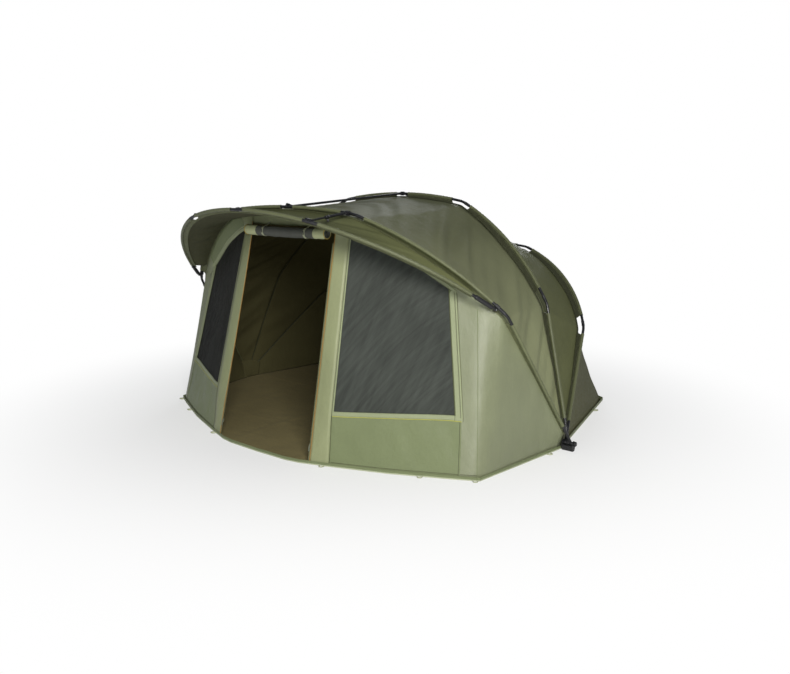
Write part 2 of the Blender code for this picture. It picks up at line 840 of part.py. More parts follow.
def side_wall(front):
    """Right-hand wall between the front corner seam, the front leg and the ground."""
    corner = Vector((FRONT_CORNER_X, FRONT_CORNER_Y, 0))
    hub = Vector((HUB_INNER_X, -HUB_CLEAR_Y, 0))
    places = front.stretch(PANEL_START, front.at_x(CORNER_SEAM_X))[::-1]
    foot_way = (hub - corner).normalized()
    rows = []
    for s in places:
        top = front.seam(s, SEAM_SIDE)
        share = (places[0] - s) / (places[0] - places[-1])
        foot = corner.lerp(hub, share) + foot_way * TRIM
        foot = Vector((foot.x - WALL_INSET - HUB_CLEAR_X * share, foot.y, WALL_FOOT))
        belly = LEG_SAG * math.sin(math.pi * share)
        rows.append([
            foot.lerp(top, up) + Vector((-1, 0, 0)) * belly * math.sin(math.pi * up)
            for up in np.linspace(0, 1, SIDE_ROWS + 1)
        ])
    rows[0] = [eased_in(a, b, CLOTH + TRIM) for a, b in zip(rows[0], rows[1])]
    sheet_sides("side_wall", rows, "wall")


def eased_in(point, toward, step):
    """The point moved a step towards another."""
    return point + (toward - point).normalized() * step


class FrontWall:
    """Right-hand front wall as a coarse grid: columns from the door to the corner, rows upwards."""

    def __init__(self, front):
        self.front = front
        inset = Vector((-WALL_INSET * 0.5, WALL_INSET, 0))
        corner = Vector((FRONT_CORNER_X, FRONT_CORNER_Y, 0))
        door = Vector((JAMB_FOOT_X, JAMB_FOOT_Y, 0))
        share = (WINDOW_OUT_FOOT_X - JAMB_FOOT_X) / (FRONT_CORNER_X - JAMB_FOOT_X)
        feet = [
            Vector((DOOR_SIDE_X, DOOR_SIDE_Y, 0)),
            door,
            door.lerp(corner, share / 2) + Vector((0, -FRONT_BULGE, 0)),
            door.lerp(corner, share) + Vector((0, -FRONT_BULGE / 2, 0)),
            corner,
        ]
        feet = [Vector((foot.x, foot.y, WALL_FOOT)) + inset for foot in feet]
        seams = [DOOR_SEAM_X, WINDOW_IN_SEAM_X, None, WINDOW_OUT_SEAM_X, CORNER_SEAM_X]
        seams[2] = (seams[1] + seams[3]) / 2
        tops = [self.top(front.at_x(x)) for x in seams]
        head = Vector((DOOR_HEAD_X, DOOR_HEAD_Y, DOOR_HEAD_Z))
        sill_in, head_in = Vector(WINDOW_IN_SILL), Vector(WINDOW_IN_HEAD)
        sill_out, head_out = Vector(WINDOW_OUT_SILL), Vector(WINDOW_OUT_HEAD)
        sill_door = feet[0].lerp(head, sill_in.z / head.z)
        sill_mid = sill_in.lerp(sill_out, 0.5)
        rise = tops[2].z - (tops[1].z + tops[3].z) / 2
        head_mid = head_in.lerp(head_out, 0.5) + Vector((0, 0, rise))
        sills = [sill_door, sill_in, sill_mid, sill_out, feet[4].lerp(tops[4], CORNER_SILL_SHARE)]
        heads = [head, head_in, head_mid, head_out, feet[4].lerp(tops[4], CORNER_HEAD_SHARE)]
        self.grid = [feet, sills, heads, tops]

    def top(self, s):
        """A point just under the foot of the web."""
        return self.front.seam(s, TRIM, SEAM_HANG)

    def point(self, row, column):
        """A point of the wall between the four nearest grid points."""
        r = min(int(row), len(self.grid) - 2)
        c = min(int(column), len(self.grid[0]) - 2)
        low = self.grid[r][c].lerp(self.grid[r][c + 1], column - c)
        high = self.grid[r + 1][c].lerp(self.grid[r + 1][c + 1], column - c)
        return low.lerp(high, row - r)

    def rows(self, rows, columns):
        """A patch of the wall, trimmed along its outer columns."""
        ease = CLOTH / 2 + TRIM
        patch = [[self.point(row, column) for column in columns] for row in rows]
        for row in patch:
            row[0], row[-1] = eased_in(row[0], row[1], ease), eased_in(row[-1], row[-2], ease)
        if rows[0] > 0:
            low = [eased_in(a, b, ease) for a, b in zip(patch[0], patch[1])]
            high = [eased_in(a, b, ease) for a, b in zip(patch[-1], patch[-2])]
            patch = [low, *patch[1:-1], high]
        return patch


def front_walls(front):
    """Front walls with their window openings, and the mesh panes, on both sides."""
    wall = FrontWall(front)
    levels = [0, 0.5, 1, 1.34, 1.67, 2, 2.5, 3]
    stations = [0, 1, 1.5, 2, 2.5, 3, 3.5, 4]
    window = [(row, column) for row in (2, 3, 4) for column in (1, 2, 3, 4)]
    sheet_sides("front_wall", wall.rows(levels, stations), "wall", window)
    sheet_sides("window_mesh", wall.rows([1, 1.34, 1.67, 2], [1, 1.5, 2, 2.5, 3]), "mesh")
    return wall


def header(front, wall):
    """Strip of wall over the door, with the two ties that hold the rolled door."""
    start = front.at_x(DOOR_SEAM_X)
    places = front.stretch(start + CLOTH, front.length - start - CLOTH)
    jamb = wall.point(2, 0).lerp(wall.point(3, 0), HEADER_SHARE)
    rows = []
    for s in places:
        top = wall.top(s)
        share = (s - places[0]) / (places[-1] - places[0])
        foot = Vector(((jamb.x - CLOTH) * (1 - 2 * share), jamb.y, HEADER_FOOT_Z))
        rows.append([top.lerp(foot, down) for down in (0, 0.5, 1)])
    cloth = baked(sheet("header", rows, "wall"))
    keep("door_header", rounded(combine([cloth, *door_ties(jamb.y)])), "wall")


def door_roll():
    """The rolled-up door: one spiral of cloth, drawn in under its two ties."""
    half = list(zip(ROLL_PLACES, ROLL_SHARES))
    bulges = [(-x, share) for x, share in half[:0:-1]] + half
    sections = []
    steps = int(ROLL_TURNS * ROLL_TURN_STEPS)
    pitch = (ROLL_RADIUS - ROLL_CORE - ROLL_CLOTH) / ROLL_TURNS
    for x, bulge in bulges:
        inner, outer = [], []
        for step in range(steps + 1):
            angle = 2 * math.pi * step / ROLL_TURN_STEPS
            radius = (ROLL_CORE + pitch * step / ROLL_TURN_STEPS) * bulge
            for ring, wall in ((inner, 0.0), (outer, ROLL_CLOTH)):
                y = ROLL_Y + math.sin(angle) * (radius + wall)
                ring.append(Vector((x, y, roll_z(x) + math.cos(angle) * (radius + wall))))
        sections.append(inner + outer)
    count = steps + 1
    quads = [(i, i + 1, count + i + 1, count + i) for i in range(steps)]
    return keep("door_roll", rounded(swept(sections, quads), 60), "wall")


def roll_z(x):
    """Height of the roll's axis, which hangs a little in the middle."""
    return ROLL_Z - ROLL_SAG * (1 - (x / ROLL_PLACES[-1]) ** 2)


def door_ties(header_y):
    """Webbing loops round the rolled door, each with a tab up to the header."""
    meshes = []
    inner = (ROLL_RADIUS * TIE_PINCH + TIE_EASE) / math.cos(math.pi / ROUND_SIDES)
    for side in (-1, 1):
        low, high = side * TIE_X - TIE_WIDTH / 2, side * TIE_X + TIE_WIDTH / 2
        centre = Vector((0, ROLL_Y, roll_z(TIE_X)))
        ring = cylinder(centre + Vector((low, 0, 0)), centre + Vector((high, 0, 0)), inner + TIE_THICKNESS)
        bore = cylinder(
            centre + Vector((low - OVERRUN, 0, 0)), centre + Vector((high + OVERRUN, 0, 0)), inner
        )
        start = Vector((low, ROLL_Y, centre.z + inner + TIE_THICKNESS / 2))
        rise = Vector((low, header_y, HEADER_FOOT_Z + TIE_TAB)) - start
        half, reach = TIE_THICKNESS / 2, rise.length + CLOTH * 2
        strap = [(-half, 0), (half, 0), (half, reach), (-half, reach)]
        tab = prism(strap, 0, TIE_WIDTH, axes(start, (1, 0, 0), rise))
        meshes.append(faceted(combine([ring, tab], [bore]), every=True))
    return meshes


def peak_panel(front, peak):
    """Hood cloth from the front face of the front rib's web to the rear face of the peak's web."""
    start = SOCKET_END / peak.length * SOCKET_FREE_SHARE
    gap_front = front.length - 2 * hinge_place(front)
    begin = hinge_place(front) + gap_front * start
    places = front.stretch(begin, front.length - begin)
    others = peak.stretch(peak.length * start, peak.length * (1 - start))
    edge_a = [front.seam(s, SEAM_SIDE) for s in places]
    edge_b = [peak.seam(t, -SEAM_SIDE) for t in others]
    ways = [inward_way(front, peak, s, t) for s, t in zip(places, others)]
    sags = []
    for t in others:
        middle = math.sin(math.pi * t / peak.length)
        sags.append(PEAK_SAG * (PEAK_SAG_END_SHARE + (1 - PEAK_SAG_END_SHARE) * middle))
    return sheet("peak_panel", between(edge_a, edge_b, PEAK_COLUMNS, sags, ways), "roof")


def foot_parts(rib, line):
    """The eyed end of a right-hand leg: an eye on the hub bolt, its neck, and the bolt hole."""
    centre = Vector((HUB_X + rib.foot_shift, 0, HUB_HEIGHT))
    half = EYE_PITCH / 2 - EYE_EASE
    eye = cylinder(centre - Vector((half, 0, 0)), centre + Vector((half, 0, 0)), EYE_RADIUS)
    way = (line.place(0) - centre).normalized()
    neck = cylinder(centre, centre + way * (FOOT_LENGTH + OVERRUN), NECK_RADIUS, TUBE_SIDES)
    reach = Vector((EYE_PITCH, 0, 0))
    hole = cylinder(centre - reach, centre + reach, BOLT_RADIUS + BOLT_EASE, TUBE_SIDES)
    return [eye, neck], [hole]


def hub_meshes():
    """Right-hand hub: forked block, bolt and clamp knob."""
    inner = 1.5 * EYE_PITCH + CHEEK_EASE
    outer = inner + CHEEK_THICKNESS
    floor = HUB_HEIGHT - EYE_RADIUS - CHEEK_EASE
    top = HUB_HEIGHT + HUB_TOP_RADIUS
    fork = [
        (-outer, 0), (outer, 0), (outer, top), (inner, top),
        (inner, floor), (-inner, floor), (-inner, top), (-outer, top),
    ]
    across = axes((HUB_X, 0, 0), (0, -1, 0), (0, 0, 1))
    body = prism(fork, -HUB_FLANK_HALF - OVERRUN, HUB_FLANK_HALF + OVERRUN, across)
    angles = np.linspace(0, math.pi, ROUND_SIDES // 2 + 1)
    tear = [(HUB_BASE_HALF, 0), (HUB_FLANK_HALF, HUB_FLANK_HEIGHT)]
    tear += [(math.cos(a) * HUB_TOP_RADIUS, HUB_HEIGHT + math.sin(a) * HUB_TOP_RADIUS) for a in angles]
    tear += [(-HUB_FLANK_HALF, HUB_FLANK_HEIGHT), (-HUB_BASE_HALF, 0)]
    along = axes((HUB_X, 0, 0), (1, 0, 0), (0, 0, 1))
    outline = prism(tear, -outer - OVERRUN, outer + OVERRUN, along)
    block = meet(body, outline)
    axis = Vector((HUB_X, 0, HUB_HEIGHT))
    reach = Vector((outer + OVERRUN, 0, 0))
    bore = cylinder(axis - reach, axis + reach, BOLT_RADIUS + BOLT_EASE)
    block = combine([block], [bore])
    face = Vector((outer + GAP, 0, 0))
    tip = Vector((KNOB_LENGTH - KNOB_BORE_WALL, 0, 0))
    head_end = axis - face - Vector((BOLT_HEAD_HEIGHT, 0, 0))
    shank = cylinder(axis - face - Vector((BOLT_HEAD_HEIGHT / 2, 0, 0)), axis + face + tip, BOLT_RADIUS)
    head = cylinder(head_end, axis - face, BOLT_HEAD_RADIUS, 6)
    bolt = combine([shank, head])
    knob_axis = axes(axis + face, (1, 0, 0), (0, 0, 1))
    lobes = []
    for index in range(4 * KNOB_LOBES):
        angle = 2 * math.pi * index / (4 * KNOB_LOBES)
        radius = KNOB_RADIUS + KNOB_LOBE * math.cos(KNOB_LOBES * angle)
        lobes.append((math.cos(angle) * radius, math.sin(angle) * radius))
    grip = prism(lobes, 0, KNOB_LENGTH, knob_axis)
    thread = cylinder(axis, axis + face + tip + Vector((GAP, 0, 0)), BOLT_RADIUS + BOLT_EASE)
    knob = combine([grip], [thread])
    return block, bolt, knob


def meet(first, second):
    """The space that two solids share."""
    objects = [bpy.data.objects.new("work", mesh) for mesh in (first, second)]
    for work in objects:
        bpy.context.scene.collection.objects.link(work)
    change = objects[0].modifiers.new("change", "BOOLEAN")
    change.operation = "INTERSECT"
    change.object = objects[1]
    bpy.context.view_layer.update()
    evaluated = objects[0].evaluated_get(bpy.context.evaluated_depsgraph_get())
    mesh = bpy.data.meshes.new_from_object(evaluated)
    for work in objects:
        bpy.data.objects.remove(work)
    return mesh


def clamp(line, s, pins, low, high):
    """A clamp ring on a pole with pairs of ears that carry riveted hinge pins along X."""
    inner = (TUBE_RADIUS + GAP) / math.cos(math.pi / TUBE_SIDES)
    way = line.tangent(s)
    centre = line.place(s)
    half = way * COLLAR_LENGTH / 2
    parts = [cylinder(centre - half, centre + half, inner + COLLAR_WALL, TUBE_SIDES)]
    round_top = [math.pi * share for share in (0, 0.25, 0.5, 0.75, 1)]
    for pin in pins:
        reach = (pin - centre).length
        toward = (pin - centre).normalized()
        ear = [(-EAR_RADIUS, 0), (EAR_RADIUS, 0)]
        ear += [(EAR_RADIUS * math.cos(a), reach + EAR_RADIUS * math.sin(a)) for a in round_top]
        for start, end in ((-high, -low), (low, high)):
            parts.append(prism(ear, 0, end - start, axes(centre + Vector((start, 0, 0)), (1, 0, 0), toward)))
        parts.append(hinge_pin(pin, high))
    bore = cylinder(centre - half * 2, centre + half * 2, inner, TUBE_SIDES)
    return combine(parts, [bore])


def hinge_pin(pin, span):
    """A pin along X with a flat head proud of each ear."""
    cap = Vector((span + PIN_HEAD_HEIGHT, 0, 0))
    root = Vector((span - GAP, 0, 0))
    shank = cylinder(pin - root, pin + root, PIN_RADIUS, TUBE_SIDES)
    left = cylinder(pin - cap, pin - root + Vector((GAP, 0, 0)), PIN_HEAD_RADIUS, TUBE_SIDES)
    right = cylinder(pin + root - Vector((GAP, 0, 0)), pin + cap, PIN_HEAD_RADIUS, TUBE_SIDES)
    return combine([shank, left, right])


def tongue(pin, low, high, way, reach):
    """A flat eyed tongue on a hinge pin, with the start of a bar."""
    matrix = axes(pin + Vector((low, 0, 0)), (1, 0, 0), way)
    under = [math.pi * (1 + share) for share in (0, 0.2, 0.4, 0.6, 0.8, 1)]
    flat = [(TONGUE_RADIUS * math.cos(a), TONGUE_RADIUS * math.sin(a)) for a in under]
    flat += [(TONGUE_RADIUS, reach), (-TONGUE_RADIUS, reach)]
    return [prism(flat, 0, high - low, matrix)]


def pin_hole(pin):
    """The hole through a tongue for its hinge pin."""
    reach = Vector((TONGUE_THICKNESS, 0, 0))
    return cylinder(pin - reach, pin + reach, (PIN_RADIUS + GAP) / math.cos(math.pi / TUBE_SIDES), TUBE_SIDES)


def ring_sector(centre, along, up, inner, outer, width, back_deg, front_deg):
    """A hook: part of a ring round a pole, from behind its top to its far side."""
    matrix = axes(centre, along, up)
    angles = np.radians(np.linspace(-back_deg, front_deg, 7))
    flat = math.cos((angles[1] - angles[0]) / 2)
    outline = [(math.sin(a) * inner / flat, math.cos(a) * inner / flat) for a in angles]
    outline += [(math.sin(a) * outer / flat, math.cos(a) * outer / flat) for a in angles[::-1]]
    return prism(outline, -width / 2, width / 2, matrix)


def bar_frame(pin, target):
    """Direction of a bar from its pin to the pole that it braces, and the way up from it."""
    way = target - pin
    way = Vector((0, way.y, way.z)).normalized()
    up = Vector((0, -way.z, way.y))
    if up.z < 0:
        up = -up
    return way, up


def bar_end(pin, target, tangent, start, radius):
    """The far end of a bar: straight run, goose neck over the pole and the hook round it."""
    way, up = bar_frame(pin, target)
    length = (target - pin).dot(way)
    drop = (target - pin).dot(up)
    level = [
        (start, drop * start / length),
        (length - GOOSE_LENGTH, drop),
        (length - BAR_RADIUS, drop + GOOSE_LEVEL),
        (length + BAR_RADIUS / 2, drop + GOOSE_LEVEL),
    ]
    points = [pin + way * along + up * rise for along, rise in level]
    tube = rod_mesh(points, radius)
    inner = TUBE_RADIUS + HOOK_CLEARANCE
    axis = tangent if tangent.cross(up).dot(way) < 0 else -tangent
    across = (up - axis * up.dot(axis)).normalized()
    centre = pin + way * length + up * drop
    hook = ring_sector(
        centre, axis, across, inner, inner + HOOK_WALL, HOOK_WIDTH, HOOK_BACK_DEG, HOOK_FRONT_DEG
    )
    reach = axis * HOOK_WIDTH * 2
    bore = cylinder(centre - reach, centre + reach, inner / math.cos(math.pi / ROUND_SIDES))
    return tube, hook, bore


def centre_bar(name, pin, target, tangent, half):
    """A centre brace bar from the middle crown to a crown before or behind it."""
    way, _ = bar_frame(pin, target)
    tube, hook, bore = bar_end(pin, target, tangent, BAR_TONGUE_REACH * 0.7, BAR_RADIUS)
    hole = pin_hole(pin)
    parts = tongue(pin, -half, half, way, BAR_TONGUE_REACH)
    keep(name, rounded(combine([tube, *parts, hook], [bore, hole])), "pole", pin)


def ground_outline():
    """Corners of the right half of the ground plan, from the door round to the rear middle."""
    rise = DOOR_SIDE_Y - DOOR_SILL_Y
    sill = [(DOOR_SIDE_X * share, DOOR_SILL_Y + rise * share**SILL_POWER) for share in SILL_SHARES]
    jamb = np.array([JAMB_FOOT_X, JAMB_FOOT_Y])
    corner = np.array([FRONT_CORNER_X, FRONT_CORNER_Y])
    share = (WINDOW_OUT_FOOT_X - JAMB_FOOT_X) / (FRONT_CORNER_X - JAMB_FOOT_X)
    middle = jamb + (corner - jamb) * share / 2 + np.array([0, -FRONT_BULGE])
    outer = jamb + (corner - jamb) * share + np.array([0, -FRONT_BULGE / 2])
    rear = [(REAR_CORNER_X, REAR_CORNER_Y), (REAR_TURN_X, REAR_TURN_Y), (0, REAR_CENTRE_Y)]
    sides = [(DOOR_SIDE_X, DOOR_SIDE_Y), tuple(jamb), tuple(middle), tuple(outer), tuple(corner)]
    return sill + sides + [(HUB_INNER_X, 0)] + rear


def closed_outline():
    """The whole ground plan, mirrored about x = 0."""
    right = ground_outline()
    left = [(-x, y) for x, y in right[::-1] if x > 0]
    return right + left


def grown(outline, margin):
    """The ground plan with its edge moved out by a margin."""
    count = len(outline)
    moved = []
    for index in range(count):
        before = Vector(outline[index - 1])
        here = Vector(outline[index])
        after = Vector(outline[(index + 1) % count])
        first = (here - before).normalized()
        second = (after - here).normalized()
        out_first = Vector((first.y, -first.x))
        out_second = Vector((second.y, -second.x))
        way = (out_first + out_second).normalized()
        moved.append(here + way * margin / max(way.dot(out_first), 0.5))
    return moved


def ground_sheet():
    """The ground sheet and the hem band that stands round its edge."""
    outline = closed_outline()
    floor = prism(outline, 0, SHEET_THICKNESS)
    keep("groundsheet", floor, "ground")
    count = len(outline)
    sections = []
    inner = grown(outline, GAP)
    outer = grown(outline, GAP + HEM_THICKNESS)
    for index in range(count):
        corners = [inner[index], outer[index]]
        ring = [Vector((*corner, level)) for level in (0, HEM_HEIGHT) for corner in corners]
        sections.append(ring)
    points = [corner for ring in sections for corner in ring]
    faces = []
    for index in range(count):
        a, b = index * 4, (index + 1) % count * 4
        faces += [(a, a + 1, b + 1, b), (a + 1, a + 3, b + 3, b + 1)]
        faces += [(a + 3, a + 2, b + 2, b + 3), (a + 2, a, b, b + 2)]
    band = mesh_from(points, faces)
    keep("ground_hem", combine([band, peg_loops()]), "webbing")


def peg_loops():
    """Small webbing loops sewn to the outside of the hem, where pegs would go."""
    outline = [Vector(corner) for corner in ground_outline()]
    meshes = []
    for edge, share in LOOP_SEATS:
        side = (outline[edge + 1] - outline[edge]).normalized()
        way = Vector((side.y, -side.x))
        start = outline[edge].lerp(outline[edge + 1], share) + way * (GAP + HEM_THICKNESS + LOOP_SET)
        corners = [start + side * LOOP_HALF, start - side * LOOP_HALF, start + way * LOOP_REACH]
        centre = sum(corners, Vector((0, 0))) / 3
        sections = []
        for corner in corners:
            out = (corner - centre).normalized()
            points = []
            for angle in (0.25, 0.75, 1.25, 1.75):
                across = math.cos(angle * math.pi) * LOOP_RADIUS
                rise = math.sin(angle * math.pi) * LOOP_RADIUS
                flat = corner + out * across
                points.append(Vector((flat.x, flat.y, LOOP_RADIUS + rise)))
            sections.append(points)
        faces = []
        count = len(sections)
        for index in range(count):
            a, b = index * 4, (index + 1) % count * 4
            faces += [(a + i, a + (i + 1) % 4, b + (i + 1) % 4, b + i) for i in range(4)]
        meshes.append(mesh_from([corner for ring in sections for corner in ring], faces))
    return group(meshes + [mirrored(mesh) for mesh in meshes])


def zips(wall):
    """Door zip tapes along the jambs, and a slider on each."""
    low, high = wall.point(0, 0), wall.point(2, 0)
    way = (high - low).normalized()
    jamb = (wall.point(1, 1) - wall.point(1, 0)).normalized()
    normal = jamb.cross(way).normalized()
    across = way.cross(normal).normalized()
    if across.x > 0:
        across = -across
    start = low + way * ((ZIP_START_Z - low.z) / way.z)
    end = low + way * ((ZIP_TOP_Z - low.z) / way.z)
    frame = axes(start, way, normal)
    edge = frame.inverted() @ (start + across)
    sign = math.copysign(1, edge.x)
    half = SHEET_THICKNESS / 2
    free = ZIP_TAPE - ZIP_COIL
    sewn = GAP - CLOTH / 2 - TRIM
    tape = [
        (sign * sewn, -half), (sign * free, -half), (sign * free, -ZIP_COIL), (sign * ZIP_TAPE, -ZIP_COIL),
        (sign * ZIP_TAPE, ZIP_COIL), (sign * free, ZIP_COIL), (sign * free, half), (sign * sewn, half),
    ]
    both_sides("zip_tape", prism(tape, 0, (end - start).length, frame), "zip")
    near = free - ZIP_COIL
    far = ZIP_TAPE + GAP
    skin = ZIP_COIL + GAP
    clear = half + GAP
    shell = [
        (sign * near, clear), (sign * (free - GAP), clear), (sign * (free - GAP), skin),
        (sign * far, skin), (sign * far, -skin), (sign * (free - GAP), -skin),
        (sign * (free - GAP), -clear), (sign * near, -clear),
        (sign * near, -skin - SLIDER_WALL), (sign * (far + SLIDER_WALL), -skin - SLIDER_WALL),
        (sign * (far + SLIDER_WALL), skin + SLIDER_WALL), (sign * near, skin + SLIDER_WALL),
    ]
    top = SLIDER_HEIGHT
    body = prism(shell, top, top + SLIDER_LENGTH, frame)
    front = 1 if (frame.to_3x3() @ Vector((0, 1, 0))).y < 0 else -1
    face = skin + SLIDER_WALL
    centre = sign * (near + far + SLIDER_WALL) / 2
    levels = (front * (face - GAP), front * (face + PULL_THICKNESS))
    tab = [
        (centre - PULL_WIDTH / 2, min(levels)), (centre + PULL_WIDTH / 2, min(levels)),
        (centre + PULL_WIDTH / 2, max(levels)), (centre - PULL_WIDTH / 2, max(levels)),
    ]
    pull = prism(tab, top + SLIDER_LENGTH / 2 - PULL_LENGTH, top + SLIDER_LENGTH / 2, frame)
    slider = combine([body, pull])
    middle = frame @ Vector((centre, 0, top))
    both_sides("zip_slider", slider, "steel", middle)


def rib(name, shape, line):
    """Legs, shoulders and crown of one rib, and its cloth sleeve."""
    axis = (0, 0, HUB_HEIGHT)
    elbow, joint = line.bends
    low = elbow + ELBOW_FERRULE
    high = joint - JOINT_FERRULE
    solids, cuts = foot_parts(shape, line)
    both_sides(f"{name}_leg", socketed(line, 0, low - GAP / 2, solids, cuts), "pole", axis)
    both_sides(f"{name}_shoulder", socketed(line, low + GAP / 2, high - GAP / 2), "pole", axis)
    middle = run(line, high + GAP / 2, line.length - high - GAP / 2)
    keep(f"{name}_crown", rod_curve(name, middle, TUBE_RADIUS), "pole", axis)
    covered = [
        (LEG_BARE, elbow - ELBOW_BARE_LEG),
        (elbow + ELBOW_BARE_SHOULDER, joint - JOINT_BARE_SHOULDER),
        (joint + JOINT_BARE_CROWN, line.crown - CROWN_BARE),
    ]
    bare = [
        (PANEL_START, LEG_BARE + OVERRUN),
        (elbow - ELBOW_BARE_LEG - OVERRUN, elbow + ELBOW_BARE_SHOULDER + OVERRUN),
        (joint - JOINT_BARE_SHOULDER - OVERRUN, joint + JOINT_BARE_CROWN + OVERRUN),
    ]
    top = [(line.crown - CROWN_BARE - OVERRUN, line.crown + CROWN_BARE + OVERRUN)]
    sleeve(f"{name}_sleeve", line, both(line, covered), both(line, bare) + top, axis)


def peak_parts(front, peak):
    """The peak hoop with its hinge brackets on the front rib."""
    pivot = peak.place(0)
    half = TONGUE_THICKNESS / 2
    bracket = clamp(front, hinge_place(front), [pivot], half + GAP, half + GAP + EAR_THICKNESS)
    both_sides("peak_bracket", bracket, "moulding", (0, 0, HUB_HEIGHT))
    base = (0, pivot.y, pivot.z)
    start, end = peak.place(SOCKET_START), peak.place(SOCKET_END)
    way = (start - pivot).normalized()
    solids = [cylinder(start, end, SOCKET_RADIUS)]
    solids += tongue(pivot, -half, half, way, SOCKET_START + OVERRUN)
    hole = pin_hole(pivot)
    joint = peak.bends[1]
    high = joint - PEAK_FERRULE
    side = socketed(peak, SOCKET_END - SOCKET_BORE_DEPTH, high - GAP / 2, solids, [hole])
    both_sides("peak_side", side, "pole", base)
    middle = run(peak, high + GAP / 2, peak.length - high - GAP / 2)
    keep("peak_crown", rod_curve("peak", middle, TUBE_RADIUS), "pole", base)
    edge = SOCKET_END * SOCKET_FREE_SHARE
    covered = [(edge, joint - PEAK_BARE_SIDE), (joint + PEAK_BARE_CROWN, peak.crown - CROWN_BARE)]
    bare = [(joint - PEAK_BARE_SIDE - OVERRUN, joint + PEAK_BARE_CROWN + OVERRUN)]
    top = [(peak.crown - CROWN_BARE - OVERRUN, peak.crown + CROWN_BARE + OVERRUN)]
    sleeve("peak_sleeve", peak, both(peak, covered), both(peak, bare) + top, base)


def centre_bars(front, mid, rear):
    """Crown clamp on the middle rib with the two centre bars pinned to it."""
    forward = Vector((0, -HINGE_STAND_OFF, 0))
    crown = mid.place(mid.crown)
    half = TONGUE_THICKNESS / 2
    ahead, behind = crown + forward, crown - forward
    body = clamp(mid, mid.crown, [ahead, behind], half + GAP, half + GAP + EAR_THICKNESS)
    keep("crown_clamp", rounded(body), "moulding")
    along = Vector((1, 0, 0))
    centre_bar("front_bar", ahead, front.place(front.crown), along, half)
    centre_bar("rear_bar", behind, rear.place(rear.crown), along, half)


def peak_bars(front, peak):
    """Telescopic side bars between the front rib's upper joints and the peak."""
    s = front.bends[1] + CLAMP_FROM_JOINT
    pin = front.place(s) + Vector((0, -HINGE_STAND_OFF, 0))
    half = TONGUE_THICKNESS / 2
    holder = clamp(front, s, [pin], half + GAP, half + GAP + EAR_THICKNESS)
    both_sides("bar_clamp", holder, "moulding", (0, 0, HUB_HEIGHT))
    t = peak.at_x(pin.x)
    target = peak.place(t)
    way, up = bar_frame(pin, target)
    outer_end = (target - pin).length * PEAK_BAR_OUTER_SHARE
    tube = cylinder(pin + way * BAR_TONGUE_REACH * 0.7, pin + way * outer_end, PEAK_BAR_OUTER_RADIUS, 12)
    plug = outer_end - PEAK_ROD_PLUG
    socket = cylinder(pin + way * plug, pin + way * (outer_end + OVERRUN), PEAK_BAR_ROD_RADIUS + GAP * 2, 12)
    hole = pin_hole(pin)
    outer = combine([tube, *tongue(pin, -half, half, way, BAR_TONGUE_REACH)], [socket, hole])
    rod, hook, bore = bar_end(pin, target, peak.tangent(t), plug + GAP, PEAK_BAR_ROD_RADIUS)
    rod = combine([rod, hook], [bore])
    top = pin + way * (outer_end - LOCK_KNOB_SETBACK) - up * (PEAK_BAR_OUTER_RADIUS + GAP)
    knob = cylinder(top, top - up * LOCK_KNOB_LENGTH, LOCK_KNOB_RADIUS, 10, up=way)
    both_sides("peak_bar", outer, "pole", pin)
    both_sides("peak_rod", rod, "pole", pin)
    both_sides("bar_knob", knob, "moulding", top)


def hubs():
    """Hub blocks, bolts and clamp knobs on both sides."""
    block, bolt, knob = hub_meshes()
    both_sides("hub_block", block, "moulding")
    both_sides("hub_bolt", bolt, "steel", (0, 0, HUB_HEIGHT))
    both_sides("hub_knob", knob, "moulding", (HUB_X, 0, HUB_HEIGHT))


def main():
    """Build the tent from the ground up."""
    for old in list(bpy.data.objects):
        bpy.data.objects.remove(old)
    bpy.context.scene.collection.children.link(TENT)
    front, mid, rear = rib_line(FRONT), rib_line(MID), rib_line(REAR)
    peak = peak_line(front)
    hubs()
    rib("front", FRONT, front)
    rib("mid", MID, mid)
    rib("rear", REAR, rear)
    peak_parts(front, peak)
    centre_bars(front, mid, rear)
    peak_bars(front, peak)
    roof("roof_front", front, mid, ROOF_SAG)
    roof("roof_rear", mid, rear, ROOF_SAG)
    rear_wall(rear)
    side_wall(front)
    wall = front_walls(front)
    header(front, wall)
    door_roll()
    peak_panel(front, peak)
    ground_sheet()
    zips(wall)


main()
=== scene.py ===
"""Looks of a two-man bivvy tent: coated cloth on three hooped ribs, a hinged peak and brace bars.

Metres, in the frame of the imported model: X to the right of someone facing the door, the door
faces -Y, Z up, and the origin on the ground midway between the hubs.
"""

import logging
import math
from collections.abc import Callable, Iterator, Sequence
from contextlib import contextmanager
from dataclasses import dataclass, field
from enum import Enum

import bmesh
import bpy
import numpy as np
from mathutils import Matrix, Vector


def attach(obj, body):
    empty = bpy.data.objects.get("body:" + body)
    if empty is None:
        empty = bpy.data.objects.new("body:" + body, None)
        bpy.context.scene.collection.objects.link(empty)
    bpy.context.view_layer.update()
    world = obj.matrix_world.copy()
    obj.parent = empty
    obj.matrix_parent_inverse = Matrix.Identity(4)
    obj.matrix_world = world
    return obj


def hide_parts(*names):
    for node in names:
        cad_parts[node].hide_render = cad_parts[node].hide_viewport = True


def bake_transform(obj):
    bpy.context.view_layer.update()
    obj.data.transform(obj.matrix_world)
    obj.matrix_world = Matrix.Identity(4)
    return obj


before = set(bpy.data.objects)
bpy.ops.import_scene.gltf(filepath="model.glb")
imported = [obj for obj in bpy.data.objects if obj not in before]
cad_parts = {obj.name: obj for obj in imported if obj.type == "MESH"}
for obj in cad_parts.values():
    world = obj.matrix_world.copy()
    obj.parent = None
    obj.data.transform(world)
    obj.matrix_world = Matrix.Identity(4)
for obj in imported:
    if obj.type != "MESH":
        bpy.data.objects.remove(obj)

LOG = logging.getLogger("bivvy_tent")
CLOTH_WALL = 0.0009
NUDGE = 1e-5
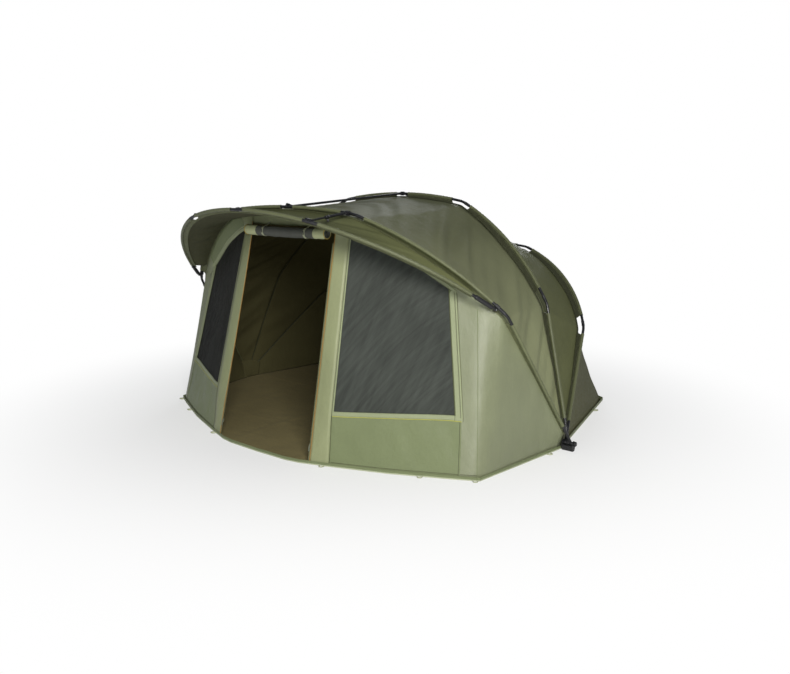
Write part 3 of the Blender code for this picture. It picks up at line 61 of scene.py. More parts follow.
HARD_EDGE_DEG = 40.0

Array = np.ndarray
Colour = tuple[float, float, float]
Pair = tuple[float, float]
Pairs = tuple[Pair, ...]
Point = tuple[float, float, float]
Piece = bpy.types.Object
Socket = bpy.types.NodeSocket


class Side(Enum):
    """The tent's two sides, as the sign of x."""

    RIGHT = 1
    LEFT = -1

    @property
    def mark(self) -> str:
        """The ending of a piece's name on this side."""
        return "R" if self is Side.RIGHT else "L"


class Body(Enum):
    """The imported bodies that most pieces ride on."""

    ROOT = "root"
    FRONT = "front_rib"
    REAR = "rear_rib"
    PEAK = "peak"


class Hold(Enum):
    """How a sheet of cloth is held."""

    STRETCHED = "stretched"
    LAID = "laid"
    FOLDED = "folded"
    HUNG = "hung"


# Finishes


class NodeSheet:
    """A node tree, with short calls for the nodes that the finishes and the stage share."""

    NOISE_SPAN = (0.3, 0.7)
    NOISE_ROUGHNESS = 0.55

    def __init__(self, owner: bpy.types.Material | bpy.types.World) -> None:
        """Open the node tree of a material or a world.

        Args:
            owner: The material or the world.
        """
        owner.use_nodes = True
        self.tree = owner.node_tree
        self.shader = self.tree.nodes.get("Principled BSDF")

    def feed(self, target: Socket, value: object) -> None:
        """Link a socket to another one, or give it a value.

        Args:
            target: The socket.
            value: A socket or a value.
        """
        if isinstance(value, Socket):
            self.tree.links.new(value, target)
        else:
            target.default_value = value

    def set(self, node: bpy.types.Node, **values: object) -> bpy.types.Node:
        """Set a node's properties and feed its sockets.

        Args:
            node: The node.
            values: Properties by their own names; sockets by name, with _ for a space.

        Returns:
            The same node.
        """
        for key in sorted(values, key=lambda name: not hasattr(node, name)):
            if hasattr(node, key):
                setattr(node, key, values[key])
            else:
                self.feed(node.inputs[key.replace("_", " ")], values[key])
        return node

    def add(self, kind: str, **values: object) -> bpy.types.Node:
        """Add a node of a kind, and set it."""
        return self.set(self.tree.nodes.new(kind), **values)

    def noise(self, vector: Socket, scale: float, detail: float) -> Socket:
        """A noise value over a vector, with so many waves in a metre and so many octaves.

        Args:
            vector: Where it is read.
            scale: The waves.
            detail: The octaves.

        Returns:
            The value's socket.
        """
        node = self.add("ShaderNodeTexNoise", Vector=vector, Scale=scale, Detail=detail,
                        Roughness=self.NOISE_ROUGHNESS)
        return node.outputs["Fac"]

    def stretched(self, vector: Socket, scale: Sequence[float]) -> Socket:
        """A vector with its axes scaled apart."""
        return self.add("ShaderNodeMapping", Vector=vector, Scale=scale).outputs["Vector"]

    def spread(self, value: Socket, low: float, high: float) -> Socket:
        """A noise value, most of which lies in NOISE_SPAN, spread over a range.

        Args:
            value: The value.
            low: Start of the range.
            high: End of the range.

        Returns:
            The result's socket.
        """
        start, end = self.NOISE_SPAN
        return self.add("ShaderNodeMapRange", Value=value, From_Min=start, From_Max=end, To_Min=low,
                        To_Max=high).outputs["Result"]

    def math(self, operation: str, first: Socket, second: Socket | float) -> Socket:
        """One step of arithmetic.

        Args:
            operation: The Math node's operation.
            first: The first value.
            second: The second value, as a socket or a number.

        Returns:
            The result's socket.
        """
        node = self.add("ShaderNodeMath", operation=operation)
        self.feed(node.inputs[0], first)
        self.feed(node.inputs[1], second)
        return node.outputs["Value"]

    def mix(self, kind: str, share: Socket, first: object, second: object,
            **values: object) -> bpy.types.Node:
        """A node that mixes two things of one kind.

        Args:
            kind: The node's type name.
            share: 0 for the first thing and 1 for the second.
            first: A socket or a value.
            second: A socket or a value.
            values: What `set` takes.

        Returns:
            The node.
        """
        node = self.add(kind, **values)
        ends = [socket for socket in node.inputs if socket.type in ("RGBA", "SHADER")]
        for socket, value in zip((node.inputs[0], *ends), (share, first, second)):
            self.feed(socket, value)
        return node

    def shades(self, value: Socket, dark: Colour, light: Colour) -> Socket:
        """A colour between a dark and a light shade."""
        node = self.mix("ShaderNodeMix", value, (*dark, 1), (*light, 1), data_type="RGBA")
        return next(socket for socket in node.outputs if socket.type == "RGBA")

    def bands(self, vector: Socket, pitch: float) -> list[Socket]:
        """Soft bands across and along a vector in metres."""
        return [self.add("ShaderNodeTexWave", wave_type="BANDS", bands_direction=way, Vector=vector,
                         Scale=math.pi / pitch / 10, Distortion=0.0).outputs["Fac"] for way in ("X", "Y")]

    def relief(self, height: Socket, strength: float, distance: float, under: Socket | None = None) -> Socket:
        """Bump the shader's normal.

        Args:
            height: The height value.
            strength: Share of the full effect.
            distance: Height in metres of a value of 1.
            under: A normal to add to.

        Returns:
            The normal's socket.
        """
        below = {"Normal": under} if under else {}
        node = self.add("ShaderNodeBump", Strength=strength, Distance=distance, Height=height, **below)
        return node.outputs["Normal"]


def tint(colour: Colour, factor: float) -> Colour:
    """A colour with each part multiplied."""
    return tuple(min(part * factor, 1.0) for part in colour)


@dataclass(frozen=True)
class Finish:
    """A finish, with its material's name and its linear colour."""

    name: str
    colour: Colour

    def material(self) -> bpy.types.Material:
        """The finish's material, made once.

        Returns:
            The material.
        """
        found = bpy.data.materials.get(self.name)
        if not found:
            found = bpy.data.materials.new(self.name)
            self.paint(NodeSheet(found))
        return found

    def paint(self, sheet: NodeSheet) -> None:
        """Set out the material's nodes."""
        sheet.set(sheet.shader, Base_Color=(*self.colour, 1))


@dataclass(frozen=True)
class ClothFinish(Finish):
    """Coated woven cloth, read on the piece's own UV map in metres; glow is the little daylight it lets
    through, and low how many times paler its colour is painted below 0.6 m than at 1.4 m, which is
    painted light on the lower cloth."""

    roughness: float = 0.62
    sheen: float = 0.02
    shine: float = 0.3
    weave: float = 0.0022
    crumple: float = 0.0016
    crumple_waves: float = 7.0
    mottle: float = 0.1
    glow: float = 0.0
    low: float = 1.0
    stain_waves: float = 2.3
    grain_waves: float = 60.0
    rubbed: float = 0.07

    def paint(self, sheet: NodeSheet) -> None:
        """Mottled dye, a paler foot that is painted light, threads, and wrinkles in the coating.

        Args:
            sheet: The material's nodes.
        """
        place = sheet.add("ShaderNodeTexCoord").outputs
        space = place["Object"]
        stain, grain = sheet.noise(space, self.stain_waves, 4.0), sheet.noise(space, self.grain_waves, 2.0)
        tone = sheet.math("ADD", sheet.spread(stain, 0.0, 0.75), sheet.spread(grain, 0.0, 0.25))
        shade = sheet.shades(tone, tint(self.colour, 1 - self.mottle), tint(self.colour, 1 + self.mottle))
        # Painted light: below 0.6 m the colour is scaled up by low, for light falling on the lower cloth.
        height = sheet.math("MULTIPLY", sheet.add("ShaderNodeSeparateXYZ", Vector=space).outputs["Z"], 0.5)
        shade = sheet.add("ShaderNodeVectorMath", operation="SCALE", Vector=shade,
                          Scale=sheet.spread(height, self.low, 1.0)).outputs["Vector"]
        wrinkles = sheet.noise(sheet.stretched(space, (1.0, 1.6, 0.8)), self.crumple_waves, 5.0)
        normal = sheet.relief(wrinkles, 0.55, self.crumple * 6)
        threads = sheet.math("MULTIPLY", *sheet.bands(place["UV"], self.weave))
        sheet.set(
            sheet.shader, Base_Color=shade, Emission_Color=shade, Emission_Strength=self.glow,
            Roughness=sheet.spread(grain, self.roughness - self.rubbed, self.roughness + self.rubbed),
            Sheen_Weight=self.sheen, Sheen_Roughness=0.45, Specular_IOR_Level=self.shine,
            Normal=sheet.relief(threads, 0.3, self.weave * 0.25, normal))


@dataclass(frozen=True)
class NetFinish(Finish):
    """Fine insect mesh: a see-through net on the piece's own UV map in metres."""

    cover: float = 0.8
    pitch: float = 0.0024
    streak: float = 0.2
    streak_turns: Pairs = ((1.2, 0.05), (0.85, 0.028))

    def paint(self, sheet: NodeSheet) -> None:
        """Strands, a haze, and slanting streaks of light at given turns and widths.

        Args:
            sheet: The material's nodes.
        """
        place = sheet.add("ShaderNodeTexCoord").outputs
        strands = sheet.math("MAXIMUM", *sheet.bands(place["UV"], self.pitch))
        haze = sheet.noise(sheet.stretched(place["Object"], (1.0, 1.0, 0.5)), 4.0, 4.0)
        tone = sheet.spread(haze, 0.0, 1.0 - self.streak)
        for turn, width in self.streak_turns:
            slant = sheet.add("ShaderNodeMapping", vector_type="TEXTURE", Vector=place["UV"],
                              Rotation=(0.0, 0.0, turn), Scale=(1.0, width, 1.0)).outputs["Vector"]
            lines = sheet.spread(sheet.noise(slant, 1.3, 3.0), -0.25 * self.streak, 0.75 * self.streak)
            tone = sheet.math("ADD", tone, lines)
        shade = sheet.shades(tone, tint(self.colour, 0.72), tint(self.colour, 1.4))
        normal = sheet.relief(strands, 0.4, self.pitch * 0.3, sheet.relief(haze, 0.5, 0.012))
        sheet.set(sheet.shader, Base_Color=shade, Roughness=0.75, Specular_IOR_Level=0.2, Alpha=self.cover,
                  Normal=normal)


@dataclass(frozen=True)
class HardFinish(Finish):
    """Painted tube, moulded plastic or bare metal, read on Object coordinates."""

    roughness: float
    metallic: float = 0.0
    coat: float = 0.0
    grain_waves: float = 900.0
    grain_depth: float = 0.00005
    wear: float = 0.15

    def paint(self, sheet: NodeSheet) -> None:
        """Rubbed and scuffed places that are a little paler and rougher, over a fine grain.

        Args:
            sheet: The material's nodes.
        """
        space = sheet.add("ShaderNodeTexCoord").outputs["Object"]
        scuffs = sheet.noise(sheet.stretched(space, (1.0, 9.0, 3.0)), 45.0, 5.0)
        tone = sheet.spread(sheet.math("MULTIPLY", sheet.noise(space, 14.0, 6.0), scuffs), 0.0, 1.0)
        worn = tuple(part + self.wear * (0.12 + part * 0.3) for part in self.colour)
        sheet.set(
            sheet.shader, Base_Color=sheet.shades(tone, self.colour, worn), Metallic=self.metallic,
            Roughness=sheet.spread(scuffs, self.roughness - 0.08, self.roughness + 0.1),
            Coat_Weight=self.coat, Coat_Roughness=0.2,
            Normal=sheet.relief(sheet.noise(space, self.grain_waves, 2.0), 0.35, self.grain_depth))


ROOF_CLOTH = ClothFinish("rear_roof_cloth", (0.108, 0.116, 0.054), 0.62, 0.0, shine=0.12)
# Painted light: low makes the lower front roof paler, for light falling on it.
FRONT_ROOF_CLOTH = ClothFinish("front_roof_cloth", (0.11, 0.117, 0.066), 0.6, 0.0, shine=0.14, low=2.2)
# Painted light: low makes the lower hood paler, for light falling on it.
HOOD_CLOTH = ClothFinish("hood_cloth", (0.092, 0.1, 0.045), 0.6, 0.0, shine=0.15, low=3.4)
HOOD_LINING = ClothFinish("hood_lining", (0.062, 0.063, 0.03), 0.75, 0.0)
WALL_CLOTH = ClothFinish("front_wall_cloth", (0.15, 0.177, 0.086), 0.42, shine=0.3)
SIDE_CLOTH = ClothFinish("side_cloth", (0.178, 0.195, 0.112), 0.38, shine=0.6)
BACK_CLOTH = ClothFinish("back_cloth", (0.08, 0.081, 0.035), 0.6, 0.0)
POST_CLOTH = ClothFinish("post_cloth", (0.225, 0.245, 0.126), 0.45, shine=0.5)
TRIM_CLOTH = ClothFinish("trim_cloth", (0.24, 0.268, 0.152), 0.5, shine=0.4, crumple=0.0005)
# Painted shadow: dark lines laid beside strips, flaps and seams where shade falls.
PAINTED_SHADOW_LINE = ClothFinish("fold_line", (0.085, 0.092, 0.048), 0.8, 0.0, crumple=0.0002)
ROOF_SLEEVE = ClothFinish("roof_sleeve", (0.1, 0.109, 0.056), 0.42, 0.03, crumple=0.001, crumple_waves=26.0)
# Painted shade: a much darker copy of the web cloth, for the shade on the web under the roof ribs' poles.
ROOF_WEB_PAINTED_SHADE = ClothFinish("roof_web", (0.036, 0.039, 0.019), 0.6, 0.02, crumple=0.0009, crumple_waves=24.0)
WALL_SLEEVE = ClothFinish("wall_sleeve", (0.12, 0.131, 0.066), 0.45, 0.03, crumple=0.001, crumple_waves=26.0)
WALL_WEB = ClothFinish("wall_web", (0.105, 0.114, 0.054), 0.6, 0.02, crumple=0.0009, crumple_waves=24.0)
LINING = ClothFinish("lining", (0.06, 0.054, 0.02), 0.85, 0.0, glow=0.05)
FLOOR_CLOTH = ClothFinish("floor_cloth", (0.2, 0.166, 0.073), 0.7, crumple=0.003, crumple_waves=3.5)
ROLL_CLOTH = ClothFinish("roll_cloth", (0.42, 0.45, 0.25), 0.6, crumple=0.0008, crumple_waves=20.0)
ROLL_MESH = ClothFinish("roll_mesh", (0.085, 0.088, 0.076), 0.8, weave=0.003, crumple_waves=20.0)
WEBBING = ClothFinish("webbing_tape", (0.36, 0.38, 0.25), 0.75, weave=0.0016, crumple=0.0003)
RIM_CLOTH = ClothFinish("rim_cloth", (0.4, 0.43, 0.3), 0.7, 0.0, crumple=0.0006, crumple_waves=30.0)
EDGE_BINDING = ClothFinish("edge_binding", (0.26, 0.145, 0.035), 0.7, 0.1, crumple=0.0003)
ROLL_BINDING = ClothFinish("roll_binding", (0.5, 0.33, 0.05), 0.7, 0.1, crumple=0.0003)
PIPING = ClothFinish("piping", (0.34, 0.34, 0.07), 0.6, 0.1, crumple=0.0002)
TAPE = ClothFinish("zip_tape", (0.13, 0.135, 0.066), 0.75, 0.05, crumple=0.0003)
THREAD = ClothFinish("thread", (0.12, 0.13, 0.07), 0.7, 0.1, weave=0.0008, crumple=0.0001)
# Lit and shaded copies of one insect mesh: the left window's is darker as painted shade, the right window's
# paler with stronger streaks as painted light.
NET_PAINTED_SHADE = NetFinish("net_dark", (0.016, 0.017, 0.016), 0.88)
NET_PAINTED_LIGHT = NetFinish("net_pale", (0.043, 0.048, 0.042), 0.96, streak=0.5)
POLE = HardFinish("pole_paint", (0.008, 0.008, 0.01), 0.3, coat=0.1, wear=0.04)
MOULDING = HardFinish("moulded_plastic", (0.01, 0.01, 0.012), 0.5, grain_waves=1500.0, wear=0.05)
KNOB_PLASTIC = HardFinish("knob_plastic", (0.014, 0.014, 0.016), 0.42, grain_waves=1500.0, wear=0.05)
STEEL = HardFinish("bare_steel", (0.5, 0.5, 0.49), 0.28, metallic=1.0, wear=0.1)
SLIDER = HardFinish("slider_paint", (0.16, 0.17, 0.12), 0.38, metallic=0.4, wear=0.2)
COIL = HardFinish("zip_coil", (0.1, 0.105, 0.05), 0.4)


# Mesh calls that the classes share


def linked(name: str, data: bpy.types.ID) -> Piece:
    """A new object with its data, in the scene.

    Args:
        name: Its name.
        data: Its mesh, light or camera.

    Returns:
        The object.
    """
    piece = bpy.data.objects.new(name, data)
    bpy.context.scene.collection.objects.link(piece)
    return piece


@contextmanager
def editing(piece: Piece) -> Iterator[bmesh.types.BMesh]:
    """A piece's mesh, open for changes that are then written back.

    Args:
        piece: The piece.

    Returns:
        The open mesh, for a `with` block.
    """
    form = bmesh.new()
    form.from_mesh(piece.data)
    yield form
    form.to_mesh(piece.data)
    form.free()


def add_piece(name: str, points: Array, faces: Sequence[Sequence[int]], finishes: Sequence[Finish]) -> Piece:
    """Make a piece from points and faces, shaded smooth.

    Args:
        name: The piece's name.
        points: Its corners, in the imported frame.
        faces: Corner numbers of each face.
        finishes: Its finishes, in slot order.

    Returns:
        The new object.
    """
    mesh = bpy.data.meshes.new(name)
    mesh.from_pydata([tuple(point) for point in np.asarray(points).reshape(-1, 3)], [], faces)
    mesh.validate()
    for finish in finishes:
        mesh.materials.append(finish.material())
    mesh.shade_smooth()
    return linked(name, mesh)


def turned_out(piece: Piece, sharp_deg: float = HARD_EDGE_DEG) -> Piece:
    """Point a closed piece's faces outwards, and keep edges hard past an angle.

    Args:
        piece: The piece.
        sharp_deg: The angle.

    Returns:
        The same piece.
    """
    with editing(piece) as form:
        bmesh.ops.recalc_face_normals(form, faces=form.faces)
    piece.data.shade_smooth()
    piece.data.set_sharp_from_angle(angle=math.radians(sharp_deg))
    return piece


def write_map(piece: Piece, uv: Array) -> None:
    """Give a mesh a UV map in metres, from one pair of values at each point.

    Args:
        piece: The piece.
        uv: The pairs, in the order of its points.
    """
    layer = piece.data.uv_layers.new(name="cloth")
    corners = np.zeros(len(piece.data.loops), dtype=np.int32)
    piece.data.loops.foreach_get("vertex_index", corners)
    layer.data.foreach_set("uv", np.asarray(uv, dtype=np.float32).reshape(-1, 2)[corners].ravel())


def steps(points: Array, axis: int) -> Array:
    """Running length along one axis of a grid of points.

    Args:
        points: The grid.
        axis: The axis that it runs along.

    Returns:
        A length for each point.
    """
    moved = np.moveaxis(points, axis, 0)
    lengths = np.linalg.norm(np.diff(moved, axis=0), axis=-1)
    total = np.concatenate([np.zeros((1, *lengths.shape[1:])), np.cumsum(lengths, axis=0)])
    return np.moveaxis(total, 0, axis)


def grid_faces(rows: int, columns: int, skip: Callable[[int, int], bool] | None = None,
               closed: bool = False) -> list[tuple[int, ...]]:
    """Faces of a grid of points.

    Args:
        rows: Number of rows.
        columns: Points in a row.
        skip: True for the cells that stay open.
        closed: Whether each row joins its own end.

    Returns:
        Corner numbers of each face.
    """
    faces = []
    for row in range(rows - 1):
        for column in range(columns if closed else columns - 1):
            if skip is None or not skip(row, column):
                after = (column + 1) % columns
                faces.append((row * columns + column, row * columns + after,
                              (row + 1) * columns + after, (row + 1) * columns + column))
    return faces


def loft(name: str, sections: Array, finishes: Sequence[Finish], caps: bool = True,
         sharp_deg: float = HARD_EDGE_DEG) -> Piece:
    """A closed skin through rings of points, with a UV map in metres round and along it.

    Args:
        name: The piece's name.
        sections: Rings by points by three.
        finishes: Its finishes.
        caps: Whether the ends are closed.
        sharp_deg: Angle past which an edge stays hard.

    Returns:
        The new object.
    """
    sections = np.asarray(sections)
    count, around = sections.shape[:2]
    faces = grid_faces(count, around, closed=True)
    if caps:
        faces.append(tuple(range(around)))
        faces.append(tuple(range(count * around - 1, (count - 1) * around - 1, -1)))
    piece = add_piece(name, sections, faces, finishes)
    write_map(piece, np.stack([steps(sections, 1), steps(sections, 0)], axis=-1))
    return turned_out(piece, sharp_deg)


def joined(name: str, pieces: Sequence[Piece]) -> Piece:
    """Several meshes as one piece.

    Args:
        name: The new piece's name.
        pieces: The meshes, which are taken away; they keep their materials.

    Returns:
        The new object.
    """
    slots: list[bpy.types.Material] = []
    form = bmesh.new()
    for piece in pieces:
        start = len(form.faces)
        for material in piece.data.materials:
            if material not in slots:
                slots.append(material)
        places = [slots.index(material) for material in piece.data.materials]
        form.from_mesh(piece.data)
        form.faces.ensure_lookup_table()
        for face in form.faces[start:]:
            face.material_index = places[min(face.material_index, len(places) - 1)]
        bpy.data.objects.remove(piece)
    mesh = bpy.data.meshes.new(name)
    form.to_mesh(mesh)
    form.free()
    for material in slots:
        mesh.materials.append(material)
    return linked(name, mesh)


def unit(vectors: Array) -> Array:
    """Vectors at length 1."""
    vectors = np.asarray(vectors, dtype=float)
    return vectors / np.maximum(np.linalg.norm(vectors, axis=-1, keepdims=True), 1e-12)


def eased(share: Array) -> Array:
    """A share from 0 to 1 with soft ends."""
    share = np.clip(share, 0, 1)
    return share * share * (3 - 2 * share)


def swell(share: Array) -> Array:
    """Half a wave: 0 at both ends of a share from 0 to 1, and 1 in the middle."""
    return np.sin(math.pi * np.asarray(share))


def blended(first: Array, second: Array, shares: Array) -> Array:
    """Points between two points or two lines, one row for each share."""
    shares = np.asarray(shares)[:, None] if np.ndim(first) == 1 else np.asarray(shares)[:, None, None]
    return first + (np.asarray(second) - first) * shares


def swept(name: str, path: Array, outline: Array, up: Array, finishes: Sequence[Finish],
          sharp_deg: float = HARD_EDGE_DEG) -> Piece:
    """A flat outline carried along a path.

    Args:
        name: The piece's name.
        path: Points of the path.
        outline: Points sideways and upwards from the path, or one such set for each point of the path.
        up: Rough way up, as one vector or one for each point.
        finishes: Its finishes.
        sharp_deg: Angle past which an edge stays hard.

    Returns:
        The new object.
    """
    path = np.asarray(path, dtype=float)
    along = unit(np.gradient(path, axis=0))
    beside = unit(np.cross(along, np.broadcast_to(np.asarray(up, dtype=float), path.shape)))
    above = np.cross(beside, along)
    outline = np.broadcast_to(outline, (len(path), *np.shape(outline)[-2:]))
    sections = path[:, None] + beside[:, None] * outline[..., :1] + above[:, None] * outline[..., 1:]
    return loft(name, sections, finishes, sharp_deg=sharp_deg)


def ring(sides: int = 20, lobes: int = 0, grip: Array | float = 0.0) -> Array:
    """A round outline of radius 1, or one for each depth of grip.

    Args:
        sides: Its corners.
        lobes: How many finger lobes it has.
        grip: How far they stand out, as a share of the radius.

    Returns:
        Points of the outline.
    """
    angles = np.linspace(0, 2 * math.pi, sides, endpoint=False)
    return np.stack([np.cos(angles), np.sin(angles)], axis=-1) * (
        1 + np.asarray(grip)[..., None] * np.cos(lobes * angles))[..., None]


def tube(name: str, path: Array, radius: float | Array, finish: Finish, up: Array = (0, 0.3, 1),
         outline: Array | None = None) -> Piece:
    """A round tube along a path.

    Args:
        name: The piece's name.
        path: Points of the path.
        radius: Radius, or one for each point.
        finish: Its finish.
        up: Rough way up.
        outline: Its ring at radius 1, if not a plain one.

    Returns:
        The new object.
    """
    radii = np.broadcast_to(radius, len(path))
    return swept(name, path, (ring() if outline is None else outline) * radii[:, None, None], up, [finish])


def turned(name: str, start: Array, way: Array, profile: Sequence[Pair], finish: Finish,
           up: Array, side: Side, outline: Array | None = None) -> Piece:
    """A straight turned part, such as a collar, a rivet head or a knob.

    Args:
        name: The piece's name.
        start: Where its axis starts, on the right-hand side.
        way: Direction of its axis there.
        profile: Pairs of the distance along the axis and the radius.
        finish: Its finish.
        up: Rough way up.
        side: Which side it is on.
        outline: Its ring at radius 1, if not a plain one.

    Returns:
        The new object.
    """
    reach, radii = np.array(profile).T
    return tube(name, mirror(start + np.asarray(way) * reach[:, None], side), radii, finish, up, outline)


def slab(width: float, height: float, soft: float = 0.3, sunk: float = 0.0) -> Array:
    """A flat outline with rounded long edges, centred across.

    Args:
        width: Size across.
        height: Size up from the base.
        soft: Share of the height taken by the rounding.
        sunk: How far the base lies below the path.

    Returns:
        Points of the outline.
    """
    half, cut = width / 2, height * soft
    return np.array([(-half, 0), (half, 0), (half, height - cut), (half - cut, height), (-half + cut, height),
                     (-half, height - cut)]) - (0, sunk)


def mirror(points: Array, side: Side) -> Array:
    """Right-hand points, or their mirror image for the left."""
    return np.asarray(points, dtype=float) * (side.value, 1, 1)


# Cloth


@dataclass(frozen=True)
class Folds:
    """Soft folds of cloth as a sum of waves with fixed random phases."""

    seed: int
    depth: float
    across: float
    along: float
    count: int = 8

    def at(self, u: Array, v: Array) -> Array:
        """Height of the folds.

        Args:
            u: Metres along the edge; the folds are `across` wide.
            v: Metres between the edges; the folds are `along` long.

        Returns:
            Heights, about plus and minus the depth.
        """
        chance = np.random.default_rng(self.seed)
        total = np.zeros(np.broadcast(u, v).shape)
        for _ in range(self.count):
            first = 2 * math.pi / (self.across * chance.uniform(0.6, 1.9))
            second = 2 * math.pi / (self.along * chance.uniform(0.8, 2.5)) * chance.choice([-1, 1])
            total = total + chance.uniform(0.5, 1) * np.sin(first * u + second * v + chance.uniform(0, 6.28))
        return self.depth * total / math.sqrt(self.count)


@dataclass(frozen=True)
class Crease:
    """One crease between two places of a sheet, each given as shares of its rows and columns."""

    start: Pair
    end: Pair
    width: float
    depth: float
    fade: float = 0.04

    def at(self, u: Array, v: Array) -> Array:
        """Height of the crease at places given in the same shares.

        Args:
            u: Shares of the rows.
            v: Shares of the columns.

        Returns:
            The heights.
        """
        start, way = np.array(self.start), np.subtract(self.end, self.start)
        share = np.clip(((u - start[0]) * way[0] + (v - start[1]) * way[1]) / float(way @ way), 0, 1)
        off = (u - start[0] - share * way[0]) ** 2 + (v - start[1] - share * way[1]) ** 2
        return self.depth * np.exp(-off / self.width**2) * swell(np.clip(share, self.fade, 1 - self.fade))


@dataclass(frozen=True)
class Fan:
    """Cloth between two hoops that turn about one axis: which share of the turn each place takes.

    The angles are from upright towards the front, about an axis along X.
    """

    fixed: Body
    moving: Body
    axis_y: float
    axis_z: float
    fixed_deg: float
    moving_deg: float

    def share(self, points: Array) -> Array:
        """Share of the moving body's turn, 0 at the fixed edge and 1 at the moving edge."""
        angle = np.degrees(np.arctan2(-(points[:, 1] - self.axis_y), points[:, 2] - self.axis_z))
        return np.clip((angle - self.fixed_deg) / (self.moving_deg - self.fixed_deg), 0, 1)

    def carry(self, piece: Piece) -> None:
        """Bake a finished piece's transform into its mesh and read its points; the piece is not bent.

        Args:
            piece: The piece, with its mesh final.
        """
        middle = math.radians((self.fixed_deg + self.moving_deg) / 2)
        way = np.array([0, -math.cos(middle), -math.sin(middle)])
        if self.moving_deg < self.fixed_deg:
            way = -way
        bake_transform(piece)
        points = np.zeros(len(piece.data.vertices) * 3)
        piece.data.vertices.foreach_get("co", points)


def fit(piece: Piece, slot: str, carrier: Fan | Body | str, *nodes: str) -> Piece:
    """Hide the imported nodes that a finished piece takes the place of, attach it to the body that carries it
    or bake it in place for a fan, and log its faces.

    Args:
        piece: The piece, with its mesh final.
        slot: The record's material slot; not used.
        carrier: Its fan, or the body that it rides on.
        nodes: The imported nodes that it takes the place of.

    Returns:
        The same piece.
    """
    if nodes:
        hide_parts(*nodes)
    if isinstance(carrier, Fan):
        carrier.carry(piece)
    else:
        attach(piece, carrier.value if isinstance(carrier, Body) else carrier)
    LOG.info("%s: %d faces", piece.name, len(piece.data.polygons))
    return piece


@dataclass(frozen=True)
class StitchRow:
    """Stitches or zip teeth along paths, set out by geometry nodes."""

    pitch: float
    length: float
    thickness: float

    INPUTS = {"Path": "Geometry", "Pitch": "Float", "Size": "Vector", "Finish": "Material"}
    LINKS = (("entry", "Path", "stations", "Curve"), ("entry", "Pitch", "stations", "Length"),
             ("stations", "Points", "place", "Points"), ("stations", "Rotation", "place", "Rotation"),
             ("bead", "Mesh", "place", "Instance"), ("entry", "Size", "place", "Scale"),
             ("place", "Instances", "real", "Geometry"), ("real", "Geometry", "dress", "Geometry"),
             ("entry", "Finish", "dress", "Material"), ("dress", "Geometry", "leave", "Beads"))

    def tree(self) -> bpy.types.GeometryNodeTree:
        """The node tree, made once: points at even steps, one low bead on each, made real.

        Returns:
            The tree.
        """
        found = bpy.data.node_groups.get("beads_along")
        if found:
            return found
        tree = bpy.data.node_groups.new("beads_along", "GeometryNodeTree")
        for name, kind in self.INPUTS.items():
            tree.interface.new_socket(name, in_out="INPUT", socket_type=f"NodeSocket{kind}")
        tree.interface.new_socket("Beads", in_out="OUTPUT", socket_type="NodeSocketGeometry")
        kinds = {"entry": "NodeGroupInput", "leave": "NodeGroupOutput",
                 "stations": "GeometryNodeCurveToPoints", "bead": "GeometryNodeMeshUVSphere",
                 "place": "GeometryNodeInstanceOnPoints",
                 "real": "GeometryNodeRealizeInstances", "dress": "GeometryNodeSetMaterial"}
        nodes = {name: tree.nodes.new(kind) for name, kind in kinds.items()}
        nodes["stations"].mode = "LENGTH"
        for name, value in (("Segments", 6), ("Rings", 4), ("Radius", 0.5)):
            nodes["bead"].inputs[name].default_value = value
        for source, output, target, entry in self.LINKS:
            tree.links.new(nodes[source].outputs[output], nodes[target].inputs[entry])
        return tree

    def lay(self, name: str, paths: Sequence[Array], finish: Finish) -> Piece:
        """Beads along paths, as one plain mesh.

        Args:
            name: The piece's name.
            paths: Points of each path.
            finish: The beads' finish.

        Returns:
            The new object.
        """
        curve = bpy.data.curves.new(name + "_path", "CURVE")
        curve.dimensions = "3D"
        for path in paths:
            spline = curve.splines.new("POLY")
            spline.points.add(len(path) - 1)
            spline.points.foreach_set("co", np.column_stack([path, np.ones(len(path))]).ravel())
        work = linked(name + "_path", curve)
        tree = self.tree()
        step = work.modifiers.new("beads", "NODES")
        step.node_group = tree
        values = {"Pitch": self.pitch, "Size": (self.thickness, self.thickness, self.length),
                  "Finish": finish.material()}
        for item in tree.interface.items_tree:
            if item.name in values:
                step[item.identifier] = values[item.name]
        bpy.context.view_layer.update()
        mesh = bpy.data.meshes.new_from_object(work.evaluated_get(bpy.context.evaluated_depsgraph_get()))
        mesh.name = name
        bpy.data.objects.remove(work)
        mesh.shade_smooth()
        return linked(name, mesh)


def declare(piece: Piece) -> Piece:
    """Read the UV map of a grid of cloth and give the grid back; nothing is set or kept.

    Args:
        piece: The sheet, before it gets a wall, with a UV map in metres.

    Returns:
        The same piece.
    """
    mesh = piece.data
    uv = np.zeros(len(mesh.loops) * 2)
    mesh.uv_layers[0].data.foreach_get("uv", uv)
    return piece


def walled(piece: Piece, thickness: float = CLOTH_WALL, lined: bool = True) -> Piece:
    """Give cloth a wall.

    Args:
        piece: The sheet.
        thickness: Wall thickness.
        lined: Whether its second finish, where it has one, is inside.

    Returns:
        The same piece.
    """
    wall = piece.modifiers.new("wall", "SOLIDIFY")
    wall.thickness, wall.offset = thickness, 0
    wall.material_offset = int(lined and len(piece.data.materials) > 1)
    return piece


